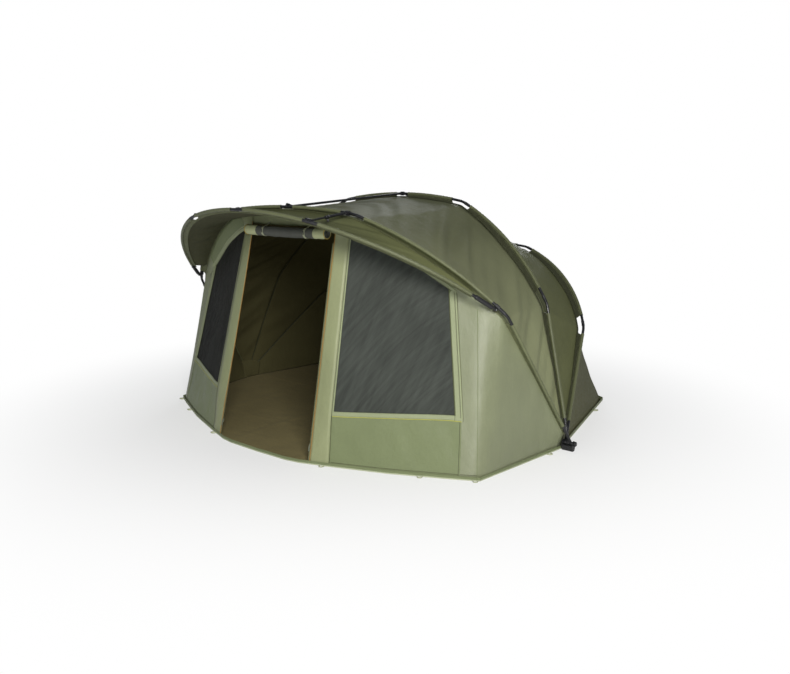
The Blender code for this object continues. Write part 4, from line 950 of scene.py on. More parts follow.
def cloth_grid(name: str, points: Array, finishes: Sequence[Finish],
               skip: Callable[[int, int], bool] | None = None) -> Piece:
    """A sheet over a grid of points, facing away from the tent's middle, with a UV map in metres.

    Args:
        name: The piece's name.
        points: Rows by columns by three.
        finishes: Outer finish, and the inner one if it differs.
        skip: True for the cells that stay open.

    Returns:
        The new object.
    """
    rows, columns = points.shape[:2]
    piece = add_piece(name, points, grid_faces(rows, columns, skip), finishes)
    inside = Vector((0.0, 0.2, 0.5))
    faces = piece.data.polygons
    if sum((face.center - inside).normalized().dot(face.normal) * face.area for face in faces) < 0:
        piece.data.flip_normals()
    across = steps(points, 1)
    along = steps(points, 0).mean(axis=1, keepdims=True) * np.ones((1, columns))
    write_map(piece, np.stack([across - across[:, columns // 2:columns // 2 + 1], along], axis=-1))
    if skip is not None:
        with editing(piece) as form:
            loose = [corner for corner in form.verts if not corner.link_faces]
            bmesh.ops.delete(form, geom=loose, context="VERTS")
    return piece


# Hoops


@dataclass(frozen=True)
class RibShape:
    """One rib by its bends in its own plane: x sideways, h up from the hub axis."""

    name: str
    body: Body
    tilt_deg: float
    elbow: Pair
    joint: Pair
    crown_h: float
    shoulder_rise: float
    foot_shift: float


RIB_SHAPES = (
    RibShape("front", Body.FRONT, 32.03, (1.405, 1.041), (0.54, 1.722), 1.76, 0.082, 0.021),
    RibShape("mid", Body.ROOT, -9.57, (1.296, 0.869), (0.546, 1.532), 1.582, 0.07, 0.0),
    RibShape("rear", Body.REAR, -47.21, (1.322, 0.917), (0.541, 1.658), 1.7, 0.1, -0.021),
)


def arc(start: Array, end: Array, rise: float, shares: Array) -> Array:
    """Points of a circle arc that bows away from the hubs.

    Args:
        start: First point in the plane.
        end: Last point.
        rise: How far the arc bows out.
        shares: Places along it, from 0 to 1.

    Returns:
        The points.
    """
    start, end = np.array(start, float), np.array(end, float)
    chord = float(np.linalg.norm(end - start))
    along = (end - start) / chord
    out = np.array([along[1], -along[0]])
    half = 2 * math.atan(2 * rise / chord)
    radius = chord / 2 / math.sin(half)
    angles = (2 * np.asarray(shares) - 1) * half
    sideways = chord / 2 + radius * np.sin(angles)
    outward = radius * (np.cos(angles) - math.cos(half))
    return start + sideways[:, None] * along + outward[:, None] * out


def bend(before: Array, corner: Array, after: Array, count: int) -> Array:
    """So many points of a rounded corner, from where it starts to where it ends."""
    s = np.linspace(0, 1, count)[:, None]
    return (1 - s) ** 2 * np.array(before) + 2 * s * (1 - s) * np.array(corner) + s**2 * np.array(after)


class Hoop:
    """A hoop's smooth centre line in a tilted plane, read by its length from the right foot."""

    TANGENT_STEP = 0.003
    SEAM_INWARD = -0.006

    def __init__(self, s: Array, plane: Array, tilt_deg: float, base: Pair,
                 bends: Pair, webs: tuple[Array, Array]) -> None:
        """Keep the right half's table and mirror it.

        Args:
            s: Lengths from the foot to the crown.
            plane: Points in the plane at those lengths.
            tilt_deg: Lean forward of upright.
            base: Y and Z of the plane's origin.
            bends: Lengths at the elbow and the upper joint.
            webs: Lengths, and the height of the web under the pole at each.
        """
        tilt = math.radians(tilt_deg)
        self.base = np.array([0, *base])
        self.up = np.array([0, -math.sin(tilt), math.cos(tilt)])
        self.front = np.array([0, -math.cos(tilt), -math.sin(tilt)])
        self.crown = float(s[-1])
        self.length = 2 * self.crown
        self.s = np.concatenate([s, self.length - s[::-1][1:]])
        self.plane = np.vstack([plane, plane[::-1][1:] * np.array([-1, 1])])
        self.bends = bends
        self.webs = webs

    def flat(self, s: Array) -> tuple[Array, Array]:
        """Plane points and inward normals at some lengths.

        Args:
            s: The lengths.

        Returns:
            Points and normals.
        """
        s = np.asarray(s, float)
        places = (np.clip(s + off, 0, self.length) for off in (-self.TANGENT_STEP, 0, self.TANGENT_STEP))
        before, here, after = (
            np.stack([np.interp(place, self.s, values) for values in self.plane.T], -1) for place in places)
        along = unit(after - before)
        return here, np.stack([-along[..., 1], along[..., 0]], -1)

    def at(self, s: Array, inward: Array | float = 0.0, side: Array | float = 0.0) -> Array:
        """Points beside the pole.

        Args:
            s: Lengths.
            inward: Distance into the hoop.
            side: Distance towards its front.

        Returns:
            The points in space.
        """
        s, inward, side = np.broadcast_arrays(np.asarray(s, float), inward, side)
        point, normal = self.flat(s)
        return self.base + self.lifted(point + normal * inward[..., None]) + side[..., None] * self.front

    def lifted(self, flat: Array) -> Array:
        """Vectors of the plane as vectors in space."""
        return flat[..., :1] * np.array([1.0, 0, 0]) + flat[..., 1:] * self.up

    def inward_way(self, s: Array) -> Array:
        """Direction into the hoop, in space."""
        return unit(self.lifted(self.flat(s)[1]))

    def web(self, s: Array) -> Array:
        """Distance from the pole's axis to the foot of the web."""
        return np.interp(np.minimum(s, self.length - np.asarray(s)), *self.webs)

    def seam(self, s: Array, side: float, inward: float = SEAM_INWARD) -> Array:
        """Points of a panel's edge, beside the foot of the web."""
        return self.at(s, self.web(s) + inward, side)

    def at_x(self, x: float) -> float:
        """Length at which the right half, above the elbow, stands at x.

        Args:
            x: The place.

        Returns:
            The length.
        """
        half = len(self.s) // 2 + 1
        keep = self.s[:half] > self.bends[0] * 0.98
        return float(np.interp(-x, -self.plane[:half, 0][keep], self.s[:half][keep]))

    def place(self, side: Side, s: float) -> float:
        """A length from one side's foot, as the length from the right foot."""
        return s if side is Side.RIGHT else self.length - s


@dataclass(frozen=True)
class Frame:
    """Sizes of the poles, hoops and hubs."""

    hub_x: float = 1.56
    hub_height: float = 0.05
    foot_length: float = 0.06
    bend_reach: float = 0.02
    tube_radius: float = 0.0095
    leg_steps: int = 2
    shoulder_steps: int = 5
    crown_steps: int = 3
    fine: int = 24
    collar_from_bend: float = 0.086
    hinge_stand_off: float = 0.027
    peak_joint: Pair = (0.53, 0.82)
    peak_crown_g: float = 0.92
    peak_side_rise: float = 0.107
    peak_rise_deg: float = 37.4
    peak_half: float = 1.7282
    peak_bend: float = 0.035
    web_heights: tuple[float, ...] = (0.032, 0.032, 0.048, 0.058, 0.038, 0.03)
    peak_web_heights: tuple[float, ...] = (0.03, 0.045, 0.038, 0.03)

    def rib(self, shape: RibShape) -> Hoop:
        """A rib's smooth line.

        Args:
            shape: Where its bends lie.

        Returns:
            The hoop.
        """
        hub = np.array([self.hub_x + shape.foot_shift, 0.0])
        elbow, joint = np.array(shape.elbow), np.array(shape.joint)
        leg = (elbow - hub) / np.linalg.norm(elbow - hub)
        foot, leg_end = hub + leg * self.foot_length, elbow - leg * self.bend_reach
        first = self.bend_reach / float(np.linalg.norm(joint - elbow))
        second = self.bend_reach / (2 * shape.joint[0])
        shoulder = arc(elbow, joint, shape.shoulder_rise,
                       np.linspace(first, 1 - first, self.shoulder_steps * self.fine + 1))
        crown = arc(joint, joint * (-1, 1), shape.crown_h - shape.joint[1],
                    np.linspace(second, 0.5, self.crown_steps * self.fine + 1))
        corner = 2 * self.fine + 1
        parts = [blended(foot, leg_end, np.linspace(0, 1, self.leg_steps * self.fine + 1)),
                 bend(leg_end, elbow, shoulder[0], corner), shoulder,
                 bend(shoulder[-1], joint, crown[0], corner), crown]
        plane = np.vstack([parts[0], *[part[1:] for part in parts[1:]]])
        knots = steps(plane[:: self.fine], 0)
        s = np.interp(np.arange(len(plane)) / self.fine, np.arange(len(knots)), knots)
        low, high = knots[self.leg_steps + 1], knots[self.leg_steps + self.shoulder_steps + 3]
        places = np.array([0, low * 0.5, low, (low + high) / 2, high, knots[-1]])
        return Hoop(s, plane, shape.tilt_deg, (0.0, self.hub_height), (low, high),
                    (places, np.array(self.web_heights)))

    def pivot(self, front: Hoop) -> Array:
        """The peak's right hinge, beside the front rib."""
        return front.at(self.hinge_place(front), 0.0, self.hinge_stand_off)

    def hinge_place(self, front: Hoop) -> float:
        """Length along the front rib at the peak's hinge."""
        return front.bends[0] + self.collar_from_bend

    def peak(self, front: Hoop) -> Hoop:
        """The peak's smooth line, from its right hinge to its left one.

        Args:
            front: The front rib.

        Returns:
            The hoop.
        """
        pivot, joint = self.pivot(front), np.array(self.peak_joint)
        side = arc((pivot[0], 0.0), joint, self.peak_side_rise, np.linspace(0, 1 - self.peak_bend, 200))
        crown = arc(joint, joint * (-1, 1), self.peak_crown_g - joint[1],
                    np.linspace(self.peak_bend, 0.5, 120))
        plane = np.vstack([side, bend(side[-1], joint, crown[0], 20)[1:-1], crown])
        run = steps(plane, 0)
        s = run / run[-1] * self.peak_half
        high = float(np.interp(-joint[0], -plane[:, 0], s))
        places = np.array([0, high / 2, high, s[-1]])
        return Hoop(s, plane, 90 - self.peak_rise_deg, (float(pivot[1]), float(pivot[2])), (0.0, high),
                    (places, np.array(self.peak_web_heights)))


@dataclass
class Hoops:
    """The four hoops, and the fans of cloth that fold between them."""

    sizes: Frame = field(default_factory=Frame)

    def __post_init__(self) -> None:
        """Work out the hoops and the fans once."""
        sizes = self.sizes
        self.front, self.mid, self.rear = (sizes.rib(shape) for shape in RIB_SHAPES)
        self.ribs = tuple(zip(RIB_SHAPES, (self.front, self.mid, self.rear)))
        self.peak = sizes.peak(self.front)
        front, mid, rear = (shape.tilt_deg for shape in RIB_SHAPES)
        hub = (0.0, sizes.hub_height)
        self.front_fan = Fan(Body.ROOT, Body.FRONT, *hub, mid, front)
        self.wall_fan = Fan(Body.ROOT, Body.FRONT, *hub, 90.0, front)
        self.rear_fan = Fan(Body.ROOT, Body.REAR, *hub, mid, rear)
        self.back_fan = Fan(Body.ROOT, Body.REAR, *hub, -90.0, rear)
        hinge = [float(value) for value in sizes.pivot(self.front)[1:]]
        self.hood_fan = Fan(Body.FRONT, Body.PEAK, *hinge, front, 90 - sizes.peak_rise_deg)


# Poles


FLAT_EYE = np.array([(-0.9, -1), (0.9, -1), (1, -0.9), (1, 0.9), (0.9, 1), (-0.9, 1), (-1, 0.9), (-1, -0.9)])
EYE_RADIUS = 0.0074


def eyed_end(name: str, pin: Array, way: Array, beyond: Sequence[Point],
             thick: float) -> Piece:
    """A flat tongue with a round eye on a hinge pin.

    Args:
        name: Its working name.
        pin: The pin's middle.
        way: Direction of the tongue.
        beyond: Distance, half width and half thickness at each step past the eye.
        thick: Half thickness of the eye.

    Returns:
        The tongue.
    """
    turn = np.linspace(0, math.pi / 2, 7)
    opening = np.linspace(0.06, math.pi / 2, 7)
    rounded = np.column_stack([-EYE_RADIUS * np.cos(turn), EYE_RADIUS * np.sin(opening), np.full(7, thick)])
    reach, half, deep = np.vstack([rounded, beyond]).T
    outline = FLAT_EYE * np.stack([deep, half], -1)[:, None]
    return swept(name, pin + way * reach[:, None], outline, np.cross(way, (1.0, 0, 0)), [MOULDING])


@dataclass(frozen=True)
class Poles:
    """Round pole sections with their connectors and end fittings."""

    hoops: Hoops
    connector_radius: float = 0.0114
    connector_half: float = 0.02
    connector_groove: float = 0.0005
    connector_gap: float = 0.045
    peak_connector_gap: float = 0.03
    eye_radius: float = 0.0115
    eye_half: float = 0.0097
    neck_radius: float = 0.0078
    thick_radius: float = 0.0135
    thick_start: float = 0.024
    thick_end: float = 0.15
    thick_overlap: float = 0.02
    tongue_half: float = 0.004
    path_step: float = 0.01

    def section(self, name: str, hoop: Hoop, ends: Sequence[float]) -> Piece:
        """One pole section between two lengths on a hoop.

        Args:
            name: Its name.
            hoop: The hoop.
            ends: The lengths.

        Returns:
            The tube.
        """
        start, end = sorted(ends)
        path = hoop.at(np.linspace(start, end, max(int((end - start) / self.path_step), 8)))
        return tube(name, path, self.hoops.sizes.tube_radius, POLE, hoop.front)

    def connector(self, hoop: Hoop, middle: float) -> Piece:
        """A connector sleeve with rolled ends, where two sections meet.

        Args:
            hoop: The hoop.
            middle: Where they meet.

        Returns:
            The sleeve.
        """
        half, rim = self.connector_half, self.connector_radius
        inner, groove = self.hoops.sizes.tube_radius * 0.99, rim - self.connector_groove
        lip = ((half - 0.005, groove), (half - 0.003, rim), (half - 0.001, rim), (half, rim - 0.0006),
               (half + NUDGE, inner))
        reach, radii = np.array([*((-place, radius) for place, radius in lip[::-1]), (0, groove), *lip]).T
        return tube("connector", hoop.at(middle + reach), radii, MOULDING, hoop.front)

    def foot(self, shape: RibShape, hoop: Hoop, side: Side) -> Piece:
        """The eyed end fitting of one leg.

        Args:
            shape: The rib's shape.
            hoop: The rib's line.
            side: Which leg.

        Returns:
            The fitting.
        """
        sizes = self.hoops.sizes
        centre = np.array([sizes.hub_x + shape.foot_shift, 0, sizes.hub_height])
        across, neck = (1, 0, 0), self.neck_radius
        shank = turned("neck", centre, unit(hoop.at(0.0) - centre), (
            (0.006, 0.0085), (0.012, neck), (0.05, neck), (0.056, 0.0098), (0.06, 0.0104), (0.075, 0.0104),
            (0.0755, 0.009)), MOULDING, across, side)
        rim = ((-1, 0.0014), (-0.93, 0.0005), (-0.8, 0), (0.8, 0), (0.93, 0.0005), (1, 0.0014))
        profile = [(place * self.eye_half, self.eye_radius - cut) for place, cut in rim]
        eye = turned("eye", centre, across, profile, MOULDING, (0, 0.3, 1), side)
        return joined("foot", [shank, eye])

    def dress_rib(self, shape: RibShape, hoop: Hoop) -> None:
        """Build one rib's poles, which stand for its three pole nodes on each side.

        Args:
            shape: The rib's shape.
            hoop: Its line.
        """
        low, high = hoop.bends[0] + self.connector_gap, hoop.bends[1] - self.connector_gap
        for side in Side:
            for part, start, end in (("leg", 0.0, low), ("shoulder", low, high)):
                ends = hoop.place(side, start), hoop.place(side, end)
                pieces = [self.section("section", hoop, ends), self.connector(hoop, ends[1])]
                if part == "leg":
                    pieces.append(self.foot(shape, hoop, side))
                piece = joined(f"{shape.name}_{part}_tube_{side.mark}", pieces)
                fit(piece, "pole", shape.body, f"{shape.name}_{part}_{side.mark}")
        crown = self.section(f"{shape.name}_crown_tube", hoop, (high, hoop.length - high))
        fit(crown, "pole", shape.body, f"{shape.name}_crown")

    def dress_peak(self) -> None:
        """Build the peak's tubes with their thick hinge ends."""
        hoop = self.hoops.peak
        high = hoop.bends[1] - self.peak_connector_gap
        pivot = hoop.at(0.0)
        way = unit((hoop.at(self.thick_start) - pivot) * (0, 1, 1))
        half = self.tongue_half
        for side in Side:
            ends = hoop.place(side, self.thick_end - self.thick_overlap), hoop.place(side, high)
            tongue = eyed_end("tongue", mirror(pivot, side), way,
                              ((0.012, EYE_RADIUS, half), (0.029, EYE_RADIUS, half)), half)
            pieces = [self.section("section", hoop, ends), self.thick_socket(hoop, side),
                      self.connector(hoop, ends[1]), tongue]
            fit(joined(f"peak_side_tube_{side.mark}", pieces), "pole", Body.PEAK, f"peak_side_{side.mark}")
        crown = self.section("peak_crown_tube", hoop, (high, hoop.length - high))
        fit(crown, "pole", Body.PEAK, "peak_crown")

    def thick_socket(self, hoop: Hoop, side: Side) -> Piece:
        """The thick sleeve at a peak side's hinge end, straight like its solid.

        Args:
            hoop: The peak's line.
            side: Which side.

        Returns:
            The sleeve.
        """
        start, end = (hoop.at(hoop.place(side, place)) for place in (self.thick_start, self.thick_end))
        rim = self.thick_radius
        shares, radii = np.array((
            (-1e-4, 0.004), (0, rim - 0.0018), (0.012, rim - 0.0004), (0.03, rim), (0.5, rim), (0.93, rim),
            (0.96, rim + 0.0006), (0.985, rim), (1, rim - 0.0014), (1 + 1e-4, 0.0092))).T
        return tube("socket", blended(start, end, shares), radii, MOULDING, hoop.front, ring(24))

    def build(self) -> None:
        """Build every pole."""
        for shape, hoop in self.hoops.ribs:
            self.dress_rib(shape, hoop)
        self.dress_peak()


@dataclass(frozen=True)
class Sleeves:
    """Cloth sleeves round the poles, with the upright web that carries the seam."""

    hoops: Hoops
    inner: float = 0.0099
    cloth: float = 0.0013
    web_half: float = 0.0016
    strip: float = 0.012
    slant: float = 0.022
    leg_bare: float = 0.1
    elbow_bare: Pair = (0.058, 0.125)
    joint_bare: Pair = (0.08, 0.09)
    peak_joint_bare: Pair = (0.045, 0.052)
    crown_bare: float = 0.057
    panel_start: float = 0.022
    peak_start: float = 0.18
    hem_width: float = 0.0115
    hem_edge: float = 0.002
    sleeve_thread: float = 0.0032
    seam_thread: float = 0.0115
    web_levels: int = 7
    sleeve_points: int = 23

    def spans(self, hoop: Hoop) -> list[Pair]:
        """Covered spans of a rib's right half.

        Args:
            hoop: The rib.

        Returns:
            Start and end of each.
        """
        elbow, joint = hoop.bends
        return [(self.leg_bare, elbow - self.elbow_bare[0]),
                (elbow + self.elbow_bare[1], joint - self.joint_bare[0]),
                (joint + self.joint_bare[1], hoop.crown - self.crown_bare)]

    def peak_spans(self, hoop: Hoop) -> list[Pair]:
        """Covered spans of the peak's right half.

        Args:
            hoop: The peak.

        Returns:
            Start and end of each.
        """
        joint = hoop.bends[1]
        return [(self.peak_start, joint - self.peak_joint_bare[0]),
                (joint + self.peak_joint_bare[1], hoop.crown - self.crown_bare)]

    def cover(self, hoop: Hoop, start: float, end: float, seed: int, finishes: Sequence[Finish]) -> Piece:
        """The sleeve and web over one covered span, with slanted ends and light puckers.

        Args:
            hoop: The hoop.
            start: Where the cloth starts at the pole.
            end: Where it ends at the pole.
            seed: For the puckers.
            finishes: The sleeve's and the web's finish.

        Returns:
            The piece.
        """
        main = np.linspace(start, end, max(int((end - start) / 0.008), 12))
        edge = np.array([0, 0.0015, 0.009, 0.0105])
        main = np.sort(np.concatenate([start + edge, main[2:-2], end - edge]))
        round_in = self.inner + self.cloth
        notch = math.asin(self.web_half / round_in)
        foot = hoop.web(main)
        rim = np.maximum(eased((start + self.hem_width - main) / self.hem_edge),
                         eased((main - end + self.hem_width) / self.hem_edge))
        pucker = Folds(seed, 0.00075, 0.024, 0.05, 9)
        sway = Folds(seed + 1, 0.0016, 0.11, 0.3, 6)
        web = []
        for share in np.linspace(1, 0.08, self.web_levels):
            drift = sway.at(main, foot * share) * math.sin(math.pi * share)
            web.append((round_in + (foot - round_in) * share, drift))
        half = self.web_half + rim * 0.0004
        rows = [(inward, half + drift) for inward, drift in web]
        for angle in np.linspace(notch, 2 * math.pi - notch, self.sleeve_points):
            wide = round_in + rim * 0.0009 + pucker.at(main, angle * 0.012) * (1 - rim)
            rows.append((np.cos(angle) * wide, np.sin(angle) * wide))
        rows += [(inward, drift - half) for inward, drift in web[::-1]]
        inward, across = np.array(rows).transpose(1, 2, 0)
        pull = np.clip((main - (start + end) / 2) / ((end - start) / 2), -1, 1)
        lean = self.slant * np.clip((inward - round_in) / np.maximum(foot[:, None] - round_in, 1e-3), 0, 1)
        s = main[:, None] + lean * (np.abs(pull) ** 12 * np.sign(pull))[:, None]
        piece = loft("cover", hoop.at(s, inward, across), finishes, sharp_deg=70)
        around = inward.shape[1]
        web_columns = {*range(self.web_levels - 1), *range(around - self.web_levels, around)}
        for index, face in enumerate(piece.data.polygons):
            face.material_index = int(index % around in web_columns and index < (len(main) - 1) * around)
        return piece

    def run(self, name: str, hoop: Hoop, s: Array, corners: Sequence[Pair],
            finish: Finish) -> Piece:
        """A narrow strip along the foot of the web.

        Args:
            name: Its working name.
            hoop: The hoop.
            s: Lengths along it.
            corners: Its outline: depth past the web's foot, and distance to the side.
            finish: Its finish.

        Returns:
            The piece.
        """
        lines = [hoop.at(s, hoop.web(s) + depth, width) for depth, width in corners]
        return loft(name, np.stack(lines, 1), [finish])

    def seam(self, hoop: Hoop, start: float, finish: Finish) -> list[Piece]:
        """The sewn strip where the web is cut away, and the folded seam under it.

        Args:
            hoop: The hoop.
            start: Where it starts.
            finish: Its finish.

        Returns:
            The pieces.
        """
        end = hoop.length - start
        deep, wide = self.strip, self.web_half * 0.94
        edge = ((-0.45, 1), (-0.9, 0.8), (-1, 0))
        strip = [(0, 1), *edge, *((depth, -width) for depth, width in edge[1::-1]), (0, -1)]
        bead = [(0.0004, 0.0014), (-0.001, 0.0031), (-0.007, 0.0031), (-0.0082, 0.0018)]
        bead += [(depth, -width) for depth, width in bead[::-1]]
        return [self.run("strip", hoop, np.linspace(start, end, max(int((end - start) / 0.01), 6)),
                         [(depth * deep, width * wide) for depth, width in strip], finish),
                self.run("bead", hoop, np.linspace(start, end, int((end - start) / 0.012)), bead, finish)]

    def stitches(self, name: str, hoop: Hoop, spans: Sequence[Pair]) -> Piece:
        """Two rows of stitches on each face of the web, along its covered spans and along its foot.

        Args:
            name: The piece's name.
            hoop: The hoop.
            spans: The covered spans.

        Returns:
            The piece.
        """
        paths = []
        for start, end in spans:
            s = np.linspace(start + 0.006, end - 0.006, max(int((end - start) / 0.015), 6))
            paths += [hoop.at(s, self.inner + self.cloth + self.sleeve_thread, way * (self.web_half + 0.0012))
                      for way in (-1, 1)]
        s = np.linspace(self.panel_start + 0.02, hoop.length - self.panel_start - 0.02, 260)
        paths += [hoop.at(s, hoop.web(s) - self.seam_thread, way * (self.web_half + 0.0003))
                  for way in (-1, 1)]
        return StitchRow(0.012, 0.0075, 0.0011).lay(name, paths, THREAD)

    def dress(self, name: str, hoop: Hoop, covered: list[Pair], start: float, body: Body,
              seed: int) -> None:
        """Build one hoop's sleeve.

        Args:
            name: The hoop's name.
            hoop: Its line.
            covered: Covered spans of the right half.
            start: Where the seam starts.
            body: The body that it rides on.
            seed: For the puckers.
        """
        spans = covered + [(hoop.length - high, hoop.length - low) for low, high in covered]
        # On the roof ribs the web, seam strip and bead take the darker web finish, which is painted shade
        # under the pole.
        finishes = [WALL_SLEEVE if body is Body.FRONT else ROOF_SLEEVE,
                    WALL_WEB if body in (Body.FRONT, Body.PEAK) else ROOF_WEB_PAINTED_SHADE]
        pieces = [self.cover(hoop, *span, seed + index, finishes) for index, span in enumerate(spans)]
        pieces += self.seam(hoop, start, finishes[1])
        fit(joined(f"{name}_sleeve_cloth", pieces), "web_cloth", body, f"{name}_sleeve")
        fit(self.stitches(f"{name}_sleeve_stitches", hoop, spans), "web_cloth", body)

    def build(self) -> None:
        """Build every sleeve."""
        for seed, (shape, hoop) in enumerate(self.hoops.ribs):
            self.dress(shape.name, hoop, self.spans(hoop), self.panel_start, shape.body, 10 + 20 * seed)
        peak = self.hoops.peak
        self.dress("peak", peak, self.peak_spans(peak), self.peak_start, Body.PEAK, 90)


# Canopy


@dataclass(frozen=True)
class Canopy:
    """The roof between the hoops, the back wall and the hood under the peak."""

    hoops: Hoops
    seam_side: float = 0.0031
    start: float = 0.022
    crown_sag: float = 0.018
    leg_sag: float = 0.006
    back_sag: float = 0.03
    hood_sag: float = 0.02
    hood_start: float = 0.18
    slant: float = 0.6
    crown_turn: float = 0.3
    flat_below: float = 0.25
    foot_z: float = 0.003
    foot_inset: float = 0.0016
    columns: int = 28
    ground: Pairs = ((1.496, 0.024), (1.263, 1.228), (0.62, 1.56), (0.0, 1.62))
    front_folds: Folds = Folds(21, 0.01, 0.17, 2.0, 10)
    front_creases: tuple[Crease, ...] = (
        Crease((0.235, 0.05), (0.365, 0.95), 0.008, 0.02), Crease((0.26, 0.05), (0.385, 0.95), 0.007, -0.02),
        Crease((0.285, 0.05), (0.41, 0.95), 0.008, 0.02), Crease((0.76, 0.05), (0.63, 0.95), 0.01, 0.016))
    rear_folds: Folds = Folds(22, 0.006, 0.24, 1.0, 9)
    rear_creases: tuple[Crease, ...] = (
        Crease((0.33, 0.05), (0.4, 0.6), 0.012, 0.012), Crease((0.36, 0.05), (0.45, 0.7), 0.01, -0.012),
        Crease((0.3, 0.08), (0.33, 0.8), 0.01, -0.009), Crease((0.6, 0.05), (0.56, 0.7), 0.012, 0.007))
    back_folds: Folds = Folds(61, 0.0045, 0.3, 0.9, 9)
    back_creases: tuple[Crease, ...] = (
        Crease((0.2, 0.1), (0.31, 0.9), 0.012, -0.007), Crease((0.3, 0.05), (0.4, 0.7), 0.014, 0.006))
    hood_folds: Folds = Folds(33, 0.0028, 0.16, 0.5, 8)

    def pairs(self, ahead: Hoop, behind: Hoop, low: float, near: float, count: int) -> tuple[Array, Array]:
        """Matching lengths on two hoops, bend to bend and crown to crown.

        Args:
            ahead: The first hoop.
            behind: The second hoop.
            low: Length left out at each end of the first hoop.
            near: Length left out at each end of the second one.
            count: How many.

        Returns:
            Lengths on the first and on the second hoop.
        """
        high, far = ahead.length - low, behind.length - near
        s = np.linspace(low, high, count)
        knots = [(first, second) for first, second in zip(self.marks(ahead), self.marks(behind))
                 if low < first < high and near < second < far]
        firsts, seconds = np.array([(low, near), *knots, (high, far)]).T
        return s, np.interp(s, firsts, seconds)

    def marks(self, hoop: Hoop) -> list[float]:
        """Lengths of a hoop's bends and crown, from foot to foot."""
        half = [mark for mark in hoop.bends if mark > 0]
        return [*half, hoop.crown, *[hoop.length - mark for mark in half[::-1]]]

    def between(self, first: Array, second: Array, sag: Array, way: Array, folds: Folds,
                creases: Sequence[Crease] = ()) -> Array:
        """A hollowed and folded sheet between two edges.

        Args:
            first: Points of one edge.
            second: Points of the other.
            sag: Depth in the middle, for each point of the edge.
            way: Direction of the sag, for each point.
            folds: Its soft folds.
            creases: Single creases.

        Returns:
            Rows by columns by three.
        """
        t = np.linspace(0, 1, self.columns + 1)
        points = first[:, None] + (second - first)[:, None] * t[None, :, None]
        u = steps(first[:, None], 0)
        v = np.linalg.norm(second - first, axis=1)[:, None] * t[None]
        half = u[-1] / 2
        lean = half - np.sqrt((u - half) ** 2 + self.crown_turn**2) - self.slant * v
        calm = swell(t)[None]
        narrow = np.clip(v[:, -1:] / self.flat_below, 0, 1)
        depth = sag[:, None] * calm - folds.at(lean, v) * np.sqrt(calm) * narrow
        for crease in creases:
            depth = depth - crease.at(*np.broadcast_arrays(u / u[-1], t)) * calm
        return points + way[:, None] * depth[..., None]

    def sags(self, hoop: Hoop, s: Array) -> Array:
        """Small sag on the legs, full over the shoulders and the crown."""
        near = np.minimum(s, hoop.length - s)
        return np.interp(near, [0, *hoop.bends], [self.leg_sag / 2, self.leg_sag, self.crown_sag])

    def roof(self, node: str, ahead: Hoop, behind: Hoop, cloth: ClothFinish, fan: Fan, folds: Folds,
             creases: Sequence[Crease]) -> None:
        """One roof panel, a single sheet from hub to hub.

        Args:
            node: The node that it stands for.
            ahead: The hoop in front.
            behind: The hoop behind.
            cloth: Its outer finish.
            fan: Its fan.
            folds: Its soft folds.
            creases: Single creases.
        """
        s, other = self.pairs(ahead, behind, self.start, self.start, 241)
        first, second = ahead.seam(s, -self.seam_side), behind.seam(other, self.seam_side)
        way = unit(ahead.inward_way(s) + behind.inward_way(other))
        points = self.between(first, second, self.sags(ahead, s), way, folds, creases)
        self.settle(node + "_cloth", points, [cloth, LINING], fan, node)

    def settle(self, name: str, points: Array, finishes: Sequence[Finish], fan: Fan, node: str) -> None:
        """Make a sheet, fit it with its fan, and give it a wall.

        Args:
            name: The piece's name.
            points: Its grid.
            finishes: Outer and inner finish.
            fan: Its fan.
            node: The node that it stands for.
        """
        piece = declare(cloth_grid(name, points, finishes))
        walled(fit(piece, "roof_cloth", fan, node))

    def ground_line(self, share_leg: Array, share_top: Array) -> Array:
        """Foot of the back wall on the right: hub to corner, then round to the middle.

        Args:
            share_leg: Share of the way up the leg.
            share_top: Share of the way from the bend to the crown.

        Returns:
            Points on the ground line.
        """
        place = np.where(share_top > 0, 1 + 2 * np.clip(share_top, 0, 1), share_leg)
        flat = np.stack([np.interp(place, range(4), values) for values in zip(*self.ground)], -1)
        round_off = 0.014 * np.exp(-(((place - 1) / 0.1) ** 2)) + 0.012 * np.exp(-(((place - 2) / 0.16) ** 2))
        flat = flat - unit(flat) * (self.foot_inset + round_off[..., None])
        return np.concatenate([flat, np.full((*flat.shape[:-1], 1), self.foot_z)], -1)

    def back(self) -> None:
        """The wall behind the rear rib, down to the ground."""
        hoop = self.hoops.rear
        low = hoop.bends[0]
        s = np.linspace(self.start, hoop.length - self.start, 281)
        near = np.minimum(s, hoop.length - s)
        share_leg = np.minimum(near / low, 1)
        foot = self.ground_line(share_leg, np.maximum((near - low) / (hoop.crown - low), 0))
        foot[:, 0] *= np.where(s > hoop.crown, -1, 1)
        top = hoop.seam(s, -self.seam_side)
        way = unit(np.stack([-top[:, 0] * 0.3, -np.ones(len(s)), np.zeros(len(s))], -1))
        points = self.between(top, foot, self.back_sag * share_leg**2, way, self.back_folds,
                              self.back_creases)
        self.settle("back_cloth", points, [BACK_CLOTH, LINING], self.hoops.back_fan, "rear_wall")

    def hood(self) -> None:
        """The hood from the front rib's seam to the peak's."""
        front, peak = self.hoops.front, self.hoops.peak
        hinge = self.hoops.sizes.hinge_place(front)
        begin = hinge + (front.length - 2 * hinge) * self.hood_start / peak.length
        s, other = self.pairs(front, peak, begin, self.hood_start, 201)
        first, second = front.seam(s, self.seam_side), peak.seam(other, -self.seam_side)
        way = unit(front.inward_way(s) + peak.inward_way(other))
        sag = self.hood_sag * (0.4 + 0.6 * swell(other / peak.length))
        points = self.between(first, second, sag, way, self.hood_folds)
        self.settle("hood_cloth_sheet", points, [HOOD_CLOTH, HOOD_LINING], self.hoops.hood_fan, "peak_panel")

